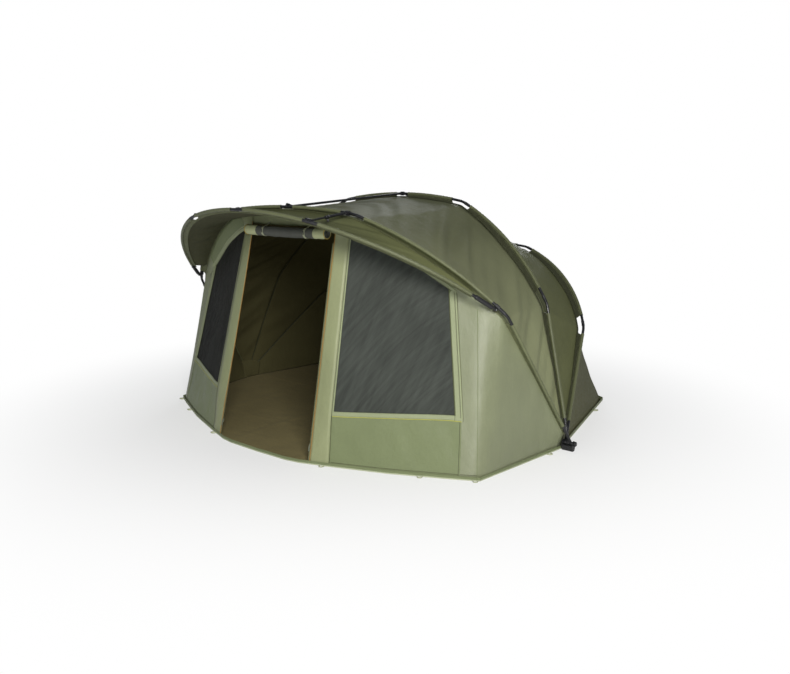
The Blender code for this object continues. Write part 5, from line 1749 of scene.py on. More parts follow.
    def build(self) -> None:
        """Build the canopy."""
        hoops = self.hoops
        self.roof("roof_front", hoops.front, hoops.mid, FRONT_ROOF_CLOTH, hoops.front_fan, self.front_folds,
                  self.front_creases)
        self.roof("roof_rear", hoops.mid, hoops.rear, ROOF_CLOTH, hoops.rear_fan, self.rear_folds,
                  self.rear_creases)
        self.back()
        self.hood()


# Front and side walls


class FrontShell:
    """Front and side walls of the right-hand half as one wrapped surface.

    Rows are counted from 0 at the ground through the window's sill (1) and head (2) to the seam (3);
    columns from 0 at the door through the window's sides (1, 3) to the corner (4), and the side wall
    runs on from the corner to the hub.
    """

    FOOT_Z = 0.003
    FEET = ((0.4252, -1.2134, FOOT_Z), (0.5612, -1.1664, FOOT_Z), (0.9052, -1.0355, FOOT_Z),
            (1.2492, -0.8715, FOOT_Z), (1.3912, -0.7974, FOOT_Z))
    SILLS = ((0.4161, -1.1388, 0.3373), (0.545, -1.114, 0.335), (0.874, -0.9495, 0.3465),
             (1.203, -0.785, 0.358), (1.3442, -0.7364, 0.3411))
    HEADS = ((0.388, -0.909, 1.367), (0.483, -0.868, 1.373), (0.773, -0.766, 1.2614),
             (1.063, -0.664, 1.083), (1.2588, -0.6254, 0.9557))
    SIDE_FEET = np.array([(1.3904, -0.799, FOOT_Z), (1.4944, -0.024, FOOT_Z)])
    SEAM_X = (0.4, 0.5, 0.8075, 1.115, 1.29)
    SEAM_START = 0.022
    SEAM_SIDE = 0.0031
    CORNER_ROWS = (0.0, 0.33, 0.93, 1.0)
    ROUNDING = 0.07
    ROUNDED_REACH = 0.26
    BELLY = 0.006
    HOLLOW = 0.005
    RIPPLES = Folds(41, 0.0016, 0.22, 0.5, 8)
    FOOT_RIPPLES = Folds(42, 0.0026, 0.2, 0.3, 7)
    GRID = (((0, 1, 15), (1, 2, 31), (2, 3, 9)), ((0, 1, 9), (1, 3, 33), (3, 4, 15)))
    CALM_EDGE = 0.08
    CALM_CORNER = 0.1

    def __init__(self, front: Hoop) -> None:
        """Work out the surface under the front rib's line.

        Args:
            front: The front rib's line.
        """
        self.front = front
        self.rows, self.columns = (
            np.unique(np.concatenate([np.linspace(*span) for span in spans])) for spans in self.GRID)
        self.corner = len(self.columns) - 1
        self.shares = np.linspace(0, 1, 31)[1:]
        self.points = self.surface()

    def knots(self, values: Sequence[Sequence[float]]) -> Array:
        """A smooth line through places at columns 0 to 4, read at every column.

        Args:
            values: The places.

        Returns:
            A point for each column.
        """
        values = np.asarray(values)
        slopes = np.gradient(values, axis=0)
        index = np.clip(self.columns.astype(int), 0, 3)
        t = (self.columns - index)[:, None]
        return ((2 * t**3 - 3 * t**2 + 1) * values[index] + (t**3 - 2 * t**2 + t) * slopes[index]
                + (3 * t**2 - 2 * t**3) * values[index + 1] + (t**3 - t**2) * slopes[index + 1])

    def surface(self) -> Array:
        """The whole surface, with its corner rounded.

        Returns:
            Rows by columns by three, front wall first and side wall after it.
        """
        front = self.front
        places = np.interp(self.columns, range(5), [front.at_x(x) for x in self.SEAM_X])
        tops = front.seam(places, 0.0008, 0.0015)
        lines = np.stack([self.knots(self.FEET), self.knots(self.SILLS), self.knots(self.HEADS), tops])
        index = np.clip(self.rows.astype(int), 0, 2)
        t = (self.rows - index)[:, None, None]
        wall = lines[index] * (1 - t) + lines[index + 1] * t
        side_tops = front.seam(places[-1] + (self.SEAM_START - places[-1]) * self.shares, self.SEAM_SIDE)
        up = np.interp(self.rows, range(4), self.CORNER_ROWS)
        side = blended(blended(*self.SIDE_FEET, self.shares), side_tops, up)
        side[..., 0] -= self.BELLY * np.outer(swell(up), swell(self.shares))
        return self.sag(self.rounded(np.concatenate([wall, side], axis=1)))

    def rounded(self, points: Array) -> Array:
        """Round the front corner.

        Args:
            points: The surface.

        Returns:
            The surface with the corner eased, less so towards the rib.
        """
        out = points.copy()
        for row, level in enumerate(self.rows):
            line = points[row]
            run = steps(line, 0)
            weights = np.exp(-(((run[:, None] - run) / self.ROUNDING) ** 2)) * np.gradient(run)
            smooth = weights @ line / weights.sum(1, keepdims=True)
            near = eased(1 - np.abs(run - run[self.corner]) / self.ROUNDED_REACH) * (1 - (level / 3) ** 3)
            out[row] = line + (smooth - line) * near[:, None]
        return out

    def sag(self, points: Array) -> Array:
        """Let the cloth sag and ripple a little between its seams.

        Args:
            points: The surface.

        Returns:
            The surface with its folds.
        """
        normal = unit(np.cross(np.gradient(points, axis=0), np.gradient(points, axis=1)))
        u, v = steps(points, 1), steps(points, 0)
        turn = u[:, self.corner:self.corner + 1]
        edge_row, lower = swell(self.rows / 3)[:, None], swell(np.clip(self.rows, 0, 1))[:, None]
        edge_column = np.minimum(1, np.minimum(u, u[:, -1:] - u) / self.CALM_EDGE)
        edge_column[:, [0, -1]] = 0
        away = np.clip(np.abs(u - turn) / self.CALM_CORNER, 0, 1)
        ripple = self.RIPPLES.at(u, v) * np.sqrt(np.maximum(edge_row, 0)) * edge_column
        ripple = ripple + self.FOOT_RIPPLES.at(u, v) * lower * edge_column
        hollow = self.HOLLOW * edge_row * swell(np.clip(u / turn, 0, 1))
        return points + normal * ((ripple - hollow) * away)[..., None]

    def read(self, row: float, column: float, lift: float = 0.0) -> Array:
        """A point of the front wall.

        Args:
            row: Row count, 0 to 3.
            column: Column count, 0 to 4.
            lift: Distance outwards from the cloth.

        Returns:
            The point.
        """
        r = float(np.interp(row, self.rows, np.arange(len(self.rows))))
        c = float(np.interp(column, self.columns, np.arange(len(self.columns))))
        i, j = min(int(r), len(self.rows) - 2), min(int(c), len(self.columns) - 2)
        a, b = r - i, c - j
        (near, beside), (above, far) = self.points[i:i + 2, j:j + 2]
        point = (near * (1 - a) + above * a) * (1 - b) + (beside * (1 - a) + far * a) * b
        return point + unit(np.cross(beside - near, above - near)) * lift

    def line(self, rows: Array | float, columns: Array | float, lift: float = 0.0) -> Array:
        """Points along a line on the front wall."""
        return np.stack([self.read(r, c, lift) for r, c in zip(*np.broadcast_arrays(rows, columns))])

    def outward(self, rows: Array | float, columns: Array | float) -> Array:
        """Outward directions along a line on the front wall."""
        return unit(self.line(rows, columns, 0.01) - self.line(rows, columns))


@dataclass
class Walls:
    """Front and side walls, windows, seams and trims, on both sides."""

    hoops: Hoops
    side_cloth_from: float = 3.14
    net_lift: float = -0.0026
    net_slack: float = 0.006
    trim_width: float = 0.022
    trim_height: float = 0.0016
    trim_lift: float = 0.0002
    trim_points: int = 36
    stitch_lift: float = 0.0018
    post_columns: float = 0.93
    post_lift: float = 0.0022
    post_reach: float = 0.043
    post_wall: float = 0.0012
    binding_points: int = 52
    zip_points: int = 70
    zip_rows: Pair = (0.06, 1.965)

    def __post_init__(self) -> None:
        """Work out the surface once."""
        self.shell = FrontShell(self.hoops.front)

    def build(self) -> None:
        """Build both sides."""
        for side in Side:
            self.panels(side)
            self.net(side)
            self.trims(side)
            self.post(side)
            self.jamb(side)

    def hang(self, piece: Piece, slot: str, *nodes: str) -> Piece:
        """Fit a piece with the wall's fan."""
        return fit(piece, slot, self.hoops.wall_fan, *nodes)

    def panels(self, side: Side) -> None:
        """The front wall with its window opening, and the side wall.

        Args:
            side: Which side.
        """
        rows, columns = self.shell.rows, np.concatenate([self.shell.columns, 4 + self.shell.shares])

        def in_window(row: int, column: int) -> bool:
            """Whether a cell's middle lies between sill and head and between the window's sides."""
            level, place = rows[row:row + 2].mean(), columns[column:column + 2].mean()
            return 1 <= level <= 2 and 1 <= place <= 3

        wall = cloth_grid(f"wall_cloth_{side.mark}", mirror(self.shell.points, side),
                          [WALL_CLOTH, LINING, SIDE_CLOTH, LINING], in_window)
        cells = [column for row in range(len(rows) - 1) for column in range(len(columns) - 1)
                 if not in_window(row, column)]
        for face, column in zip(wall.data.polygons, cells):
            face.material_index = 2 * int(columns[column] > self.side_cloth_from)
        declare(wall)
        walled(self.hang(wall, "wall_cloth", f"front_wall_{side.mark}", f"side_wall_{side.mark}"))

    def net(self, side: Side) -> None:
        """The window's net, which hangs a little slack behind the opening.

        Args:
            side: Which side.
        """
        levels, columns = np.linspace(0.975, 2.02, 41), np.linspace(0.95, 3.05, 45)
        net = np.stack([self.shell.line(level, columns, self.net_lift) for level in levels])
        normal = unit(np.cross(np.gradient(net, axis=0), np.gradient(net, axis=1)))
        u, v = steps(net, 1), steps(net, 0)
        calm = np.outer(swell(np.linspace(0, 1, 41)), swell(np.linspace(0, 1, 45)))
        folds = Folds(51 + side.value, 0.004, 0.17, 0.35, 7)
        slack = folds.at(u + 0.8 * v, v - 0.4 * u) * np.sqrt(np.maximum(calm, 0)) + self.net_slack * calm
        net = net + normal * np.sign(normal[20, 22, 1]) * slack[..., None]
        # Painted light and shade: the right window takes the paler mesh, the left one the darker copy.
        pane = cloth_grid(f"window_net_{side.mark}", mirror(net, side),
                          [NET_PAINTED_LIGHT if side is Side.RIGHT else NET_PAINTED_SHADE])
        self.hang(declare(pane), "mesh", f"window_mesh_{side.mark}")

    def ribbon(self, name: str, side: Side, rows: Array | float, columns: Array | float, width: float,
               height: float, finish: Finish) -> Piece:
        """A flat strip laid on the front wall along a line, such as a sewn strip or a painted shadow line.

        Args:
            name: Its name.
            side: Which side.
            rows: Row counts along the line.
            columns: Column counts along it.
            width: Width of the strip.
            height: How far it stands off.
            finish: Its finish.

        Returns:
            The strip.
        """
        path, up = (mirror(points, side) for points in (
            self.shell.line(rows, columns, self.trim_lift), self.shell.outward(rows, columns)))
        return swept(name, path, slab(width, height), up, [finish])

    def strips(self, name: str, side: Side, lines: Sequence[tuple]) -> None:
        """Lay strips along lines, sewn ones and painted shadow lines, each given by what `ribbon` takes, as
        one piece.
        """
        sewn = [self.ribbon("strip", side, *line) for line in lines]
        self.hang(joined(f"{name}_{side.mark}", sewn), "wall_cloth")

    def trims(self, side: Side) -> None:
        """Strips and flaps round the window, the wall's sewn seams, and dark painted shadow lines along their
        edges.

        Args:
            side: Which side.
        """
        n, w, h = self.trim_points, self.trim_width, self.trim_height
        across, upward = np.linspace(0.99, 3.2, n), np.linspace(0.915, 2.2, n)
        down, above = np.linspace(0, 0.9, n), np.linspace(2.3, 2.96, n)
        self.strips("window_border", side, (
            (0.958, across, w * 1.2, h, TRIM_CLOTH), (2.1, across, w * 0.95, h, TRIM_CLOTH),
            (2.235, np.linspace(0.9, 3.28, n), w * 0.4, h * 2, TRIM_CLOTH),
            (upward, 0.965, w * 0.6, h, TRIM_CLOTH), (upward, 3.085, w * 1.25, h, TRIM_CLOTH),
            (upward, 3.2, w * 0.5, h * 2, TRIM_CLOTH),
            # From here on the dark ribbons are painted shadow lines along the strips' edges.
            (2.19, across, 0.004, h, PAINTED_SHADOW_LINE), (upward, 3.168, 0.004, h, PAINTED_SHADOW_LINE),
            (upward, 3.238, 0.003, h, PAINTED_SHADOW_LINE), (2.003, across, 0.003, h * 1.2, PAINTED_SHADOW_LINE),
            (upward, 3.005, 0.003, h * 1.2, PAINTED_SHADOW_LINE)))
        coil = self.ribbon(f"window_sill_zip_{side.mark}", side, 0.912, np.linspace(0.97, 3.21, n), 0.0045,
                           0.003, PIPING)
        self.hang(coil, "zip")
        self.strips("wall_seams", side, (
            # The dark ribbons here are painted shadow lines in the seam below the window and along the foot.
            (down, 3.17, 0.008, 0.0014, WALL_CLOTH), (down, 3.14, 0.003, 0.0012, PAINTED_SHADOW_LINE),
            (np.linspace(0.01, 2.1, n), 3.93, 0.004, 0.0014, WALL_CLOTH),
            (above, 3.14, 0.007, 0.0014, WALL_CLOTH),
            (0.075, np.linspace(1.0, 3.97, n), 0.003, 0.0012, PAINTED_SHADOW_LINE)))
        lines = ((2.15, across), (2.03, across), (0.985, across), (0.93, across), (upward, 3.03),
                 (upward, 3.14), (down, 3.15), (0.055, np.linspace(0.05, 3.9, n)))
        paths = [mirror(self.shell.line(*line, self.stitch_lift), side) for line in lines]
        thread = StitchRow(0.011, 0.0068, 0.001).lay(f"wall_stitches_{side.mark}", paths, THREAD)
        self.hang(thread, "wall_cloth")

    def post(self, side: Side) -> None:
        """The flap along the door, with a painted shadow line along its edge; the left one reaches a little
        into the doorway at its top.

        Args:
            side: Which side.
        """
        rows = np.linspace(0.0, 2.96, 61)
        columns = np.linspace(0.0, self.post_columns, 9)
        points = np.stack([self.shell.line(row, columns, self.post_lift) for row in rows])
        reach = self.post_reach * eased((rows - 0.6) / 1.6) * (side is Side.LEFT)
        into = unit(points[:, 0] - points[:, 1])
        share = (1 - columns / self.post_columns)[None, :, None]
        points = points + into[:, None] * share * reach[:, None, None]
        piece = cloth_grid(f"door_post_{side.mark}", mirror(points, side), [POST_CLOTH, LINING])
        walled(self.hang(piece, "wall_cloth"), self.post_wall)
        out = unit(np.cross(points[2:, 0] - points[:-2, 0], points[1:-1, 1] - points[1:-1, 0]))
        out, edge = (out * np.sign(-out[:, 1:2]))[:self.binding_points], points[1:-1, 0][:self.binding_points]
        self.hang(swept(f"door_binding_{side.mark}", mirror(edge, side), slab(0.0062, 0.0032, 0.4, 0.0016),
                        mirror(out, side), [EDGE_BINDING]), "zip")
        # Painted shadow: a dark line just past the flap's edge.
        fold = self.ribbon(f"door_post_edge_{side.mark}", side, np.linspace(0.0, 2.2, 40), 0.95, 0.003,
                           0.0025, PAINTED_SHADOW_LINE)
        self.hang(fold, "wall_cloth")

    def jamb(self, side: Side) -> None:
        """The door's edge: zip tape and coil.

        Args:
            side: Which side.
        """
        span = np.linspace(*self.zip_rows, self.zip_points)
        edge = self.shell.line(span, 0.0)
        into = unit(edge - self.shell.line(span, 0.06))
        out = self.shell.outward(span, 0.0)
        tape = swept(f"zip_tape_cloth_{side.mark}", mirror(edge + into * 0.0052, side),
                     slab(0.0128, 0.0009, 0.3, 0.00045), mirror(out, side), [TAPE])
        self.hang(tape, "zip", f"zip_tape_{side.mark}")
        paths = [mirror(edge + into * 0.0118 + out * lift, side) for lift in (0.0009, -0.0009)]
        self.hang(StitchRow(0.0031, 0.0022, 0.0042).lay(f"zip_coil_{side.mark}", paths, COIL), "zip")


@dataclass(frozen=True)
class Door:
    """The header over the door, the rolled door and its two ties."""

    hoops: Hoops
    foot_z: float = 1.428
    foot_x: float = 0.387
    foot_y: float = -0.9069
    foot_sag: float = 0.004
    top_x: float = 0.4
    top_gap: float = 0.0022
    roll_y: float = -0.951
    roll_z: float = 1.388
    roll_sag: float = 0.006
    roll_half: float = 0.362
    roll_wall: float = 0.0011
    roll_start: float = 0.4
    radius: float = 0.035
    core: float = 0.005
    pitch: float = 0.0033
    net_half: float = 0.262
    outer_columns: int = 30
    binding_x: float = 0.3605
    tie_x: float = 0.19
    tie_width: float = 0.016
    toggle_half: float = 0.013
    toggle_radius: float = 0.0032
    places: tuple[float, ...] = (0.0, 0.1, 0.165, 0.19, 0.215, 0.27, 0.33, 0.362)
    bulges: tuple[float, ...] = (0.96, 1.0, 0.94, 0.88, 0.94, 1.0, 0.97, 0.93)
    header_folds: Folds = Folds(71, 0.0018, 0.16, 0.3, 6)
    roll_folds: Folds = Folds(81, 0.0011, 0.07, 0.09, 7)

    def header(self) -> None:
        """The strip of wall over the door."""
        front = self.hoops.front
        start = front.at_x(self.top_x) + self.top_gap
        s = np.linspace(start, front.length - start, 81)
        share = np.linspace(0, 1, 81)
        feet = np.stack([self.foot_x * (1 - 2 * share), np.full(81, self.foot_y),
                         self.foot_z - self.foot_sag * swell(share)], -1)
        t = np.linspace(0, 1, 9)
        points = blended(front.seam(s, 0.0008, 0.0015), feet, t).swapaxes(0, 1)
        wave = self.header_folds.at(s[:, None], t * 0.08) * t
        piece = cloth_grid("door_header_cloth", points + front.front * wave[..., None], [POST_CLOTH, LINING])
        declare(piece)
        walled(fit(piece, "wall_cloth", Body.FRONT, "door_header"))
        edge = swept("door_header_edge", feet + (0, -0.0002, 0.002), slab(0.008, 0.0022, sunk=0.0011),
                     front.front, [WALL_CLOTH])
        fit(edge, "wall_cloth", Body.FRONT)

    def axis(self, x: Array | float) -> Array:
        """Points of the roll's middle, which hangs a little.

        Args:
            x: Where it is read.

        Returns:
            The points.
        """
        x = np.asarray(x, float)
        z = self.roll_z - self.roll_sag * (1 - (x / self.roll_half) ** 2)
        return np.stack([x, np.full_like(x, self.roll_y), z], -1)

    def round(self, angle: Array, radius: Array | float) -> Array:
        """Steps from the roll's middle to places round it."""
        return np.stack([np.zeros_like(angle * radius), np.sin(angle) * radius, np.cos(angle) * radius], -1)

    def roll(self) -> None:
        """The rolled door, one long spiral of cloth with its net in the middle."""
        half = self.roll_half
        x = np.concatenate([-np.array(self.places[:0:-1]), self.places])
        fine = np.unique(np.concatenate([np.linspace(-half, half, 61), x]))
        bulge = np.interp(np.abs(fine), self.places, self.bulges)[:, None]
        turns = (self.radius - self.core - 0.0006) / self.pitch
        angle = np.linspace(0, 2 * math.pi * turns, int(turns * 22))
        radius = self.core + self.pitch * angle / (2 * math.pi)
        wide = radius * bulge + self.roll_folds.at(fine[:, None], radius * angle * 0.35)
        wide = np.minimum(wide, self.radius * bulge * 0.985)
        points = self.axis(fine)[:, None] + self.round(angle + self.roll_start, wide)
        piece = cloth_grid("door_roll_cloth", points, [ROLL_CLOTH, ROLL_MESH])
        columns = points.shape[1]
        for index, face in enumerate(piece.data.polygons):
            row, column = divmod(index, columns - 1)
            face.material_index = int(abs(fine[row]) < self.net_half or column < columns - self.outer_columns)
        declare(piece)
        walled(fit(piece, "wall_cloth", Body.FRONT, "door_roll"), self.roll_wall, lined=False)
        rings = [self.band("binding", side.value * self.binding_x, self.radius * 0.93, 41,
                           slab(0.0035, 0.0026, sunk=0.0013), ROLL_BINDING) for side in Side]
        fit(joined("door_roll_binding", rings), "zip", Body.FRONT)

    def band(self, name: str, x: float, radius: float, count: int, outline: Array, finish: Finish) -> Piece:
        """A closed band round the roll.

        Args:
            name: Its working name.
            x: Where it lies.
            radius: Its radius.
            count: Points round it.
            outline: Its outline.
            finish: Its finish.

        Returns:
            The band.
        """
        loop = self.round(np.linspace(0, 2 * math.pi, count), radius)
        return swept(name, self.axis(x) + loop, outline, unit(loop), [finish])

    def ties(self) -> None:
        """Webbing loops round the roll, with tabs up to the header."""
        pieces = []
        wide = self.radius * 0.9 + 0.0016
        for side in Side:
            x = side.value * self.tie_x
            centre = self.axis(x)
            pieces.append(self.band("loop", x, wide, 49, slab(self.tie_width, 0.0017, sunk=0.0008), WEBBING))
            share = np.linspace(0, 1, 12)
            seam = np.array([x, self.foot_y + 0.001, self.foot_z + 0.016])
            path = blended(centre + (0, 0, wide), seam, share)
            path[:, 1] += 0.004 * swell(share)
            pieces.append(swept("tab", path, slab(self.tie_width, 0.0016, sunk=0.0008), (0, -1, 0.2),
                                [WEBBING]))
            bar = np.linspace((0, 0, -self.toggle_half), (0, 0, self.toggle_half), 9)
            bar = bar + centre + (0, -wide - 0.0025, 0.004)
            radii = self.toggle_radius * np.sqrt(1 - np.linspace(-0.95, 0.95, 9) ** 4)
            pieces.append(tube("toggle", bar, radii, MOULDING, (1, 0, 0), ring(12)))
        fit(joined("door_ties", pieces), "webbing", Body.FRONT, "door_header")

    def build(self) -> None:
        """Build the door."""
        self.ties()
        self.header()
        self.roll()


# Ground


@dataclass(frozen=True)
class Ground:
    """Ground sheet, hem with its peg loops, and the cloth behind each hub."""

    hoops: Hoops
    floor_flat: Pair = (3.03, 2.89)
    floor_wall: float = 0.0008
    floor_middle: Pair = (0.0, 0.2)
    floor_rings: int = 60
    floor_folds: Folds = Folds(5, 0.0009, 0.5, 0.7, 9)
    packed_creases: tuple[tuple[float, tuple[float, ...]], ...] = (
        (0.0022, (-0.9, -0.3, 0.3, 0.9)), (0.0018, (-0.75, 0.1, 0.95)))
    packed_width: float = 0.02
    floor_heights: Pair = (0.0006, 0.006)
    rim_height: float = 0.0016
    rim_step: float = 0.02
    hem_folds: Folds = Folds(6, 0.0006, 0.12, 1.0, 6)
    hem_profile: Pairs = (
        (0.0003, 0.0), (0.0021, 0.0), (0.0028, 0.002), (0.0028, 0.006), (0.0021, 0.0075), (0.002, 0.021),
        (0.0014, 0.024), (0.0004, 0.023))
    hem_dark_below: float = 0.0075
    hem_stitch_z: Pair = (0.0205, 0.0065)
    loop_reach: float = 0.034
    loop_half: float = 0.016
    loop_outline: Pairs = (
        (-0.0012, -0.0033), (0.0012, -0.0033), (0.0014, 0), (0.0012, 0.0033), (-0.0012, 0.0033), (-0.0014, 0))
    outline: Pairs = (
        (0.0, -1.262), (0.2556, -1.2559), (0.3621, -1.2375), (0.426, -1.215), (0.562, -1.168),
        (0.906, -1.037), (1.25, -0.873), (1.392, -0.799), (1.512, 0.0), (1.263, 1.228), (0.62, 1.56),
        (0.0, 1.62))
    loop_seats: tuple[tuple[int, float], ...] = (
        (3, 0.6), (5, 0.5), (6, 0.85), (7, 0.82), (8, 0.75), (9, 0.4), (10, 0.5))
    hub_feet: tuple[Point, ...] = (
        (1.4824, -0.075, 0.003), (1.4905, 0.0, 0.003), (1.4825, 0.075, 0.003))

    def rim(self) -> Array:
        """The whole ground line, finely divided, going round from the door's middle.

        Returns:
            Points in the plane.
        """
        right = np.array(self.outline)
        line = np.vstack([right, right[::-1][1:-1] * (-1, 1), right[:1]])
        fine = []
        for a, b in zip(line[:-1], line[1:]):
            count = max(int(np.linalg.norm(b - a) / self.rim_step), 1)
            fine.append(blended(a, b, np.linspace(0, 1, count, endpoint=False)))
        return np.vstack(fine)

    def outward(self, rim: Array) -> Array:
        """Outward directions round a closed line."""
        along = unit(np.roll(rim, -1, 0) - np.roll(rim, 1, 0))
        return np.stack([along[:, 1], -along[:, 0]], -1)

    def floor(self) -> None:
        """The ground sheet, with the soft folds it was packed in."""
        rim, rings = self.rim(), self.floor_rings
        middle = np.array(self.floor_middle)
        flat = blended(np.broadcast_to(middle, rim.shape), rim, np.linspace(1, 0.02, rings))
        height = 0.0015 + self.floor_folds.at(flat[..., 0] + 2, flat[..., 1] + 2)
        for axis, (rise, places) in enumerate(self.packed_creases):
            for place in places:
                height = height + rise * np.exp(-(((flat[..., axis] - place) / self.packed_width) ** 2))
        height = np.clip(height, *self.floor_heights)
        height[0] = self.rim_height
        faces = grid_faces(rings, len(rim), closed=True)
        faces.append(tuple(range((rings - 1) * len(rim), rings * len(rim))))
        points = np.concatenate([flat, height[..., None]], -1)
        piece = add_piece("floor_cloth_sheet", points, faces, [FLOOR_CLOTH])
        write_map(piece, flat)
        walled(fit(piece, "ground_cloth", Body.ROOT, "groundsheet"), self.floor_wall)

    def hem(self) -> None:
        """The band round the foot, with a webbing loop at each peg."""
        rim = self.rim()
        out = self.outward(rim)
        wave = self.hem_folds.at(steps(rim, 0), 0.0)
        sections = np.stack([self.course(rim + out * (off + wave * (level > 0.01))[:, None], level)
                             for off, level in self.hem_profile], 1)
        band = loft("band", sections, [WALL_CLOTH, RIM_CLOTH], caps=False)
        for face in band.data.polygons:
            face.material_index = int(face.center.z < self.hem_dark_below)
        with editing(band) as form:
            bmesh.ops.remove_doubles(form, verts=form.verts, dist=0.0001)
            bmesh.ops.recalc_face_normals(form, faces=form.faces)
        loops = [self.loop(edge, share, side) for side in Side for edge, share in self.loop_seats]
        fit(joined("ground_hem_band", [band, *loops]), "webbing", Body.ROOT, "ground_hem")
        paths = [self.course(rim + out * 0.0027, level) for level in self.hem_stitch_z]
        fit(StitchRow(0.012, 0.0075, 0.001).lay("hem_stitches", paths, THREAD), "webbing", Body.ROOT)

    def course(self, line: Array, level: float) -> Array:
        """A closed line at one height."""
        points = np.column_stack([line, np.full(len(line), level)])
        return np.concatenate([points, points[:1]])

    def loop(self, edge: int, share: float, side: Side) -> Piece:
        """One flat webbing loop, folded to a point, standing off the hem.

        Args:
            edge: Edge of the ground line.
            share: Place along it.
            side: Which side.

        Returns:
            The loop.
        """
        a, b = np.array(self.outline[edge:edge + 2])
        along = unit(b - a)
        out = np.array([along[1], -along[0]])
        turn = np.linspace(-1, 1, 25)
        bow = np.sqrt(np.clip(1 - np.abs(turn) ** 2.6, 0, 1))
        flat = (a + (b - a) * share + out * 0.0012 + along * (turn * self.loop_half)[:, None]
                + out * (bow * self.loop_reach * 0.92)[:, None])
        path = np.column_stack([flat, 0.0034 + 0.003 * swell((turn + 1) / 2)])
        return swept("loop", mirror(path, side), np.array(self.loop_outline), (0, 0, 1), [WEBBING])

    def hub_cloth(self) -> None:
        """The small piece of cloth that closes the walls behind each hub."""
        hoops = self.hoops
        tops = np.stack([hoops.front.seam(0.072, 0.01), hoops.mid.seam(0.057, 0.0),
                         hoops.rear.seam(0.072, -0.01)])
        place, t = np.linspace(0, 2, 17), np.linspace(0, 1, 13)
        low, high = (np.stack([np.interp(place, range(3), values) for values in np.transpose(ends)], -1)
                     for ends in (self.hub_feet, tops - (0.004, 0, 0)))
        points = blended(low, high, t)
        points[..., 0] -= 0.004 * np.outer(swell(t), swell(place / 2))
        for side in Side:
            piece = cloth_grid(f"hub_cloth_{side.mark}", mirror(points, side), [SIDE_CLOTH, LINING])
            walled(fit(declare(piece), "wall_cloth", Body.ROOT))

    def build(self) -> None:
        """Build the ground pieces."""
        self.floor()
        self.hem()
        self.hub_cloth()


# Hardware


@dataclass(frozen=True)
class BraceBar:
    """A bar pinned at one end, with a goose neck and a hook at the other."""

    pin: Array
    target: Array
    radius: float = 0.008
    start: float = 0.0168
    goose: float = 0.042
    level: float = 0.016
    lead: float = 0.008
    neck_share: float = 0.35
    hook_middle: float = 0.0128
    hook_deg: Pair = (-22, 78)
    hook_outline: Pairs = (
        (-0.0068, -0.0024), (0.0068, -0.0024), (0.007, -0.0018), (0.007, 0.0014), (0.0058, 0.0026),
        (-0.0058, 0.0026), (-0.007, 0.0014), (-0.007, -0.0018))

    def frame(self) -> tuple[Array, Array, float]:
        """Direction along the bar, the way up from it, and its length.

        Returns:
            The two directions and the length.
        """
        way = (np.array(self.target) - self.pin) * (0, 1, 1)
        length = float(np.linalg.norm(way))
        way = way / length
        up = np.array([0, -way[2], way[1]])
        return way, up if up[2] > 0 else -up, length

    def bar(self) -> Piece:
        """The straight tube and its goose neck.

        Returns:
            The tube.
        """
        way, up, length = self.frame()
        knots = np.array([(self.start, 0), (length - self.goose, 0), (length - self.radius, self.level),
                          (length + self.radius / 2, self.level)])
        lead, rise = knots[1] - (self.lead, 0), (knots[2] - knots[1]) * self.neck_share
        flat = np.vstack([np.linspace(knots[0], lead, 30), bend(lead, knots[1], knots[1] + rise, 9),
                          bend(knots[2] - rise, knots[2], knots[3], 9)])
        radii = np.full(len(flat), self.radius)
        radii[-1] *= 0.86
        return tube("bar", self.pin + way * flat[:, :1] + up * flat[:, 1:], radii, POLE, (1, 0, 0))

    def hook(self, cross: Array) -> Piece:
        """The open hook over the far pole.

        Args:
            cross: The pole's direction.

        Returns:
            The hook.
        """
        way, up, length = self.frame()
        axis = unit(cross)
        above = unit(up - axis * (up @ axis))
        ahead = np.cross(above, axis)
        ahead = ahead if ahead @ way > 0 else -ahead
        angles = np.radians(np.linspace(*self.hook_deg, 21))[:, None]
        steps_out = ahead * (np.sin(angles) * self.hook_middle) + above * (np.cos(angles) * self.hook_middle)
        path = self.pin + way * length + steps_out
        return swept("hook", path, np.array(self.hook_outline), unit(steps_out), [MOULDING])

    def eye(self) -> Piece:
        """The flat eyed end on the hinge pin.

        Returns:
            The end.
        """
        rim = self.radius
        beyond = ((0.016, EYE_RADIUS, 0.0039), (0.021, 0.0086, 0.0062), (0.026, rim, rim))
        return eyed_end("eye", self.pin, self.frame()[0], beyond, 0.0039)


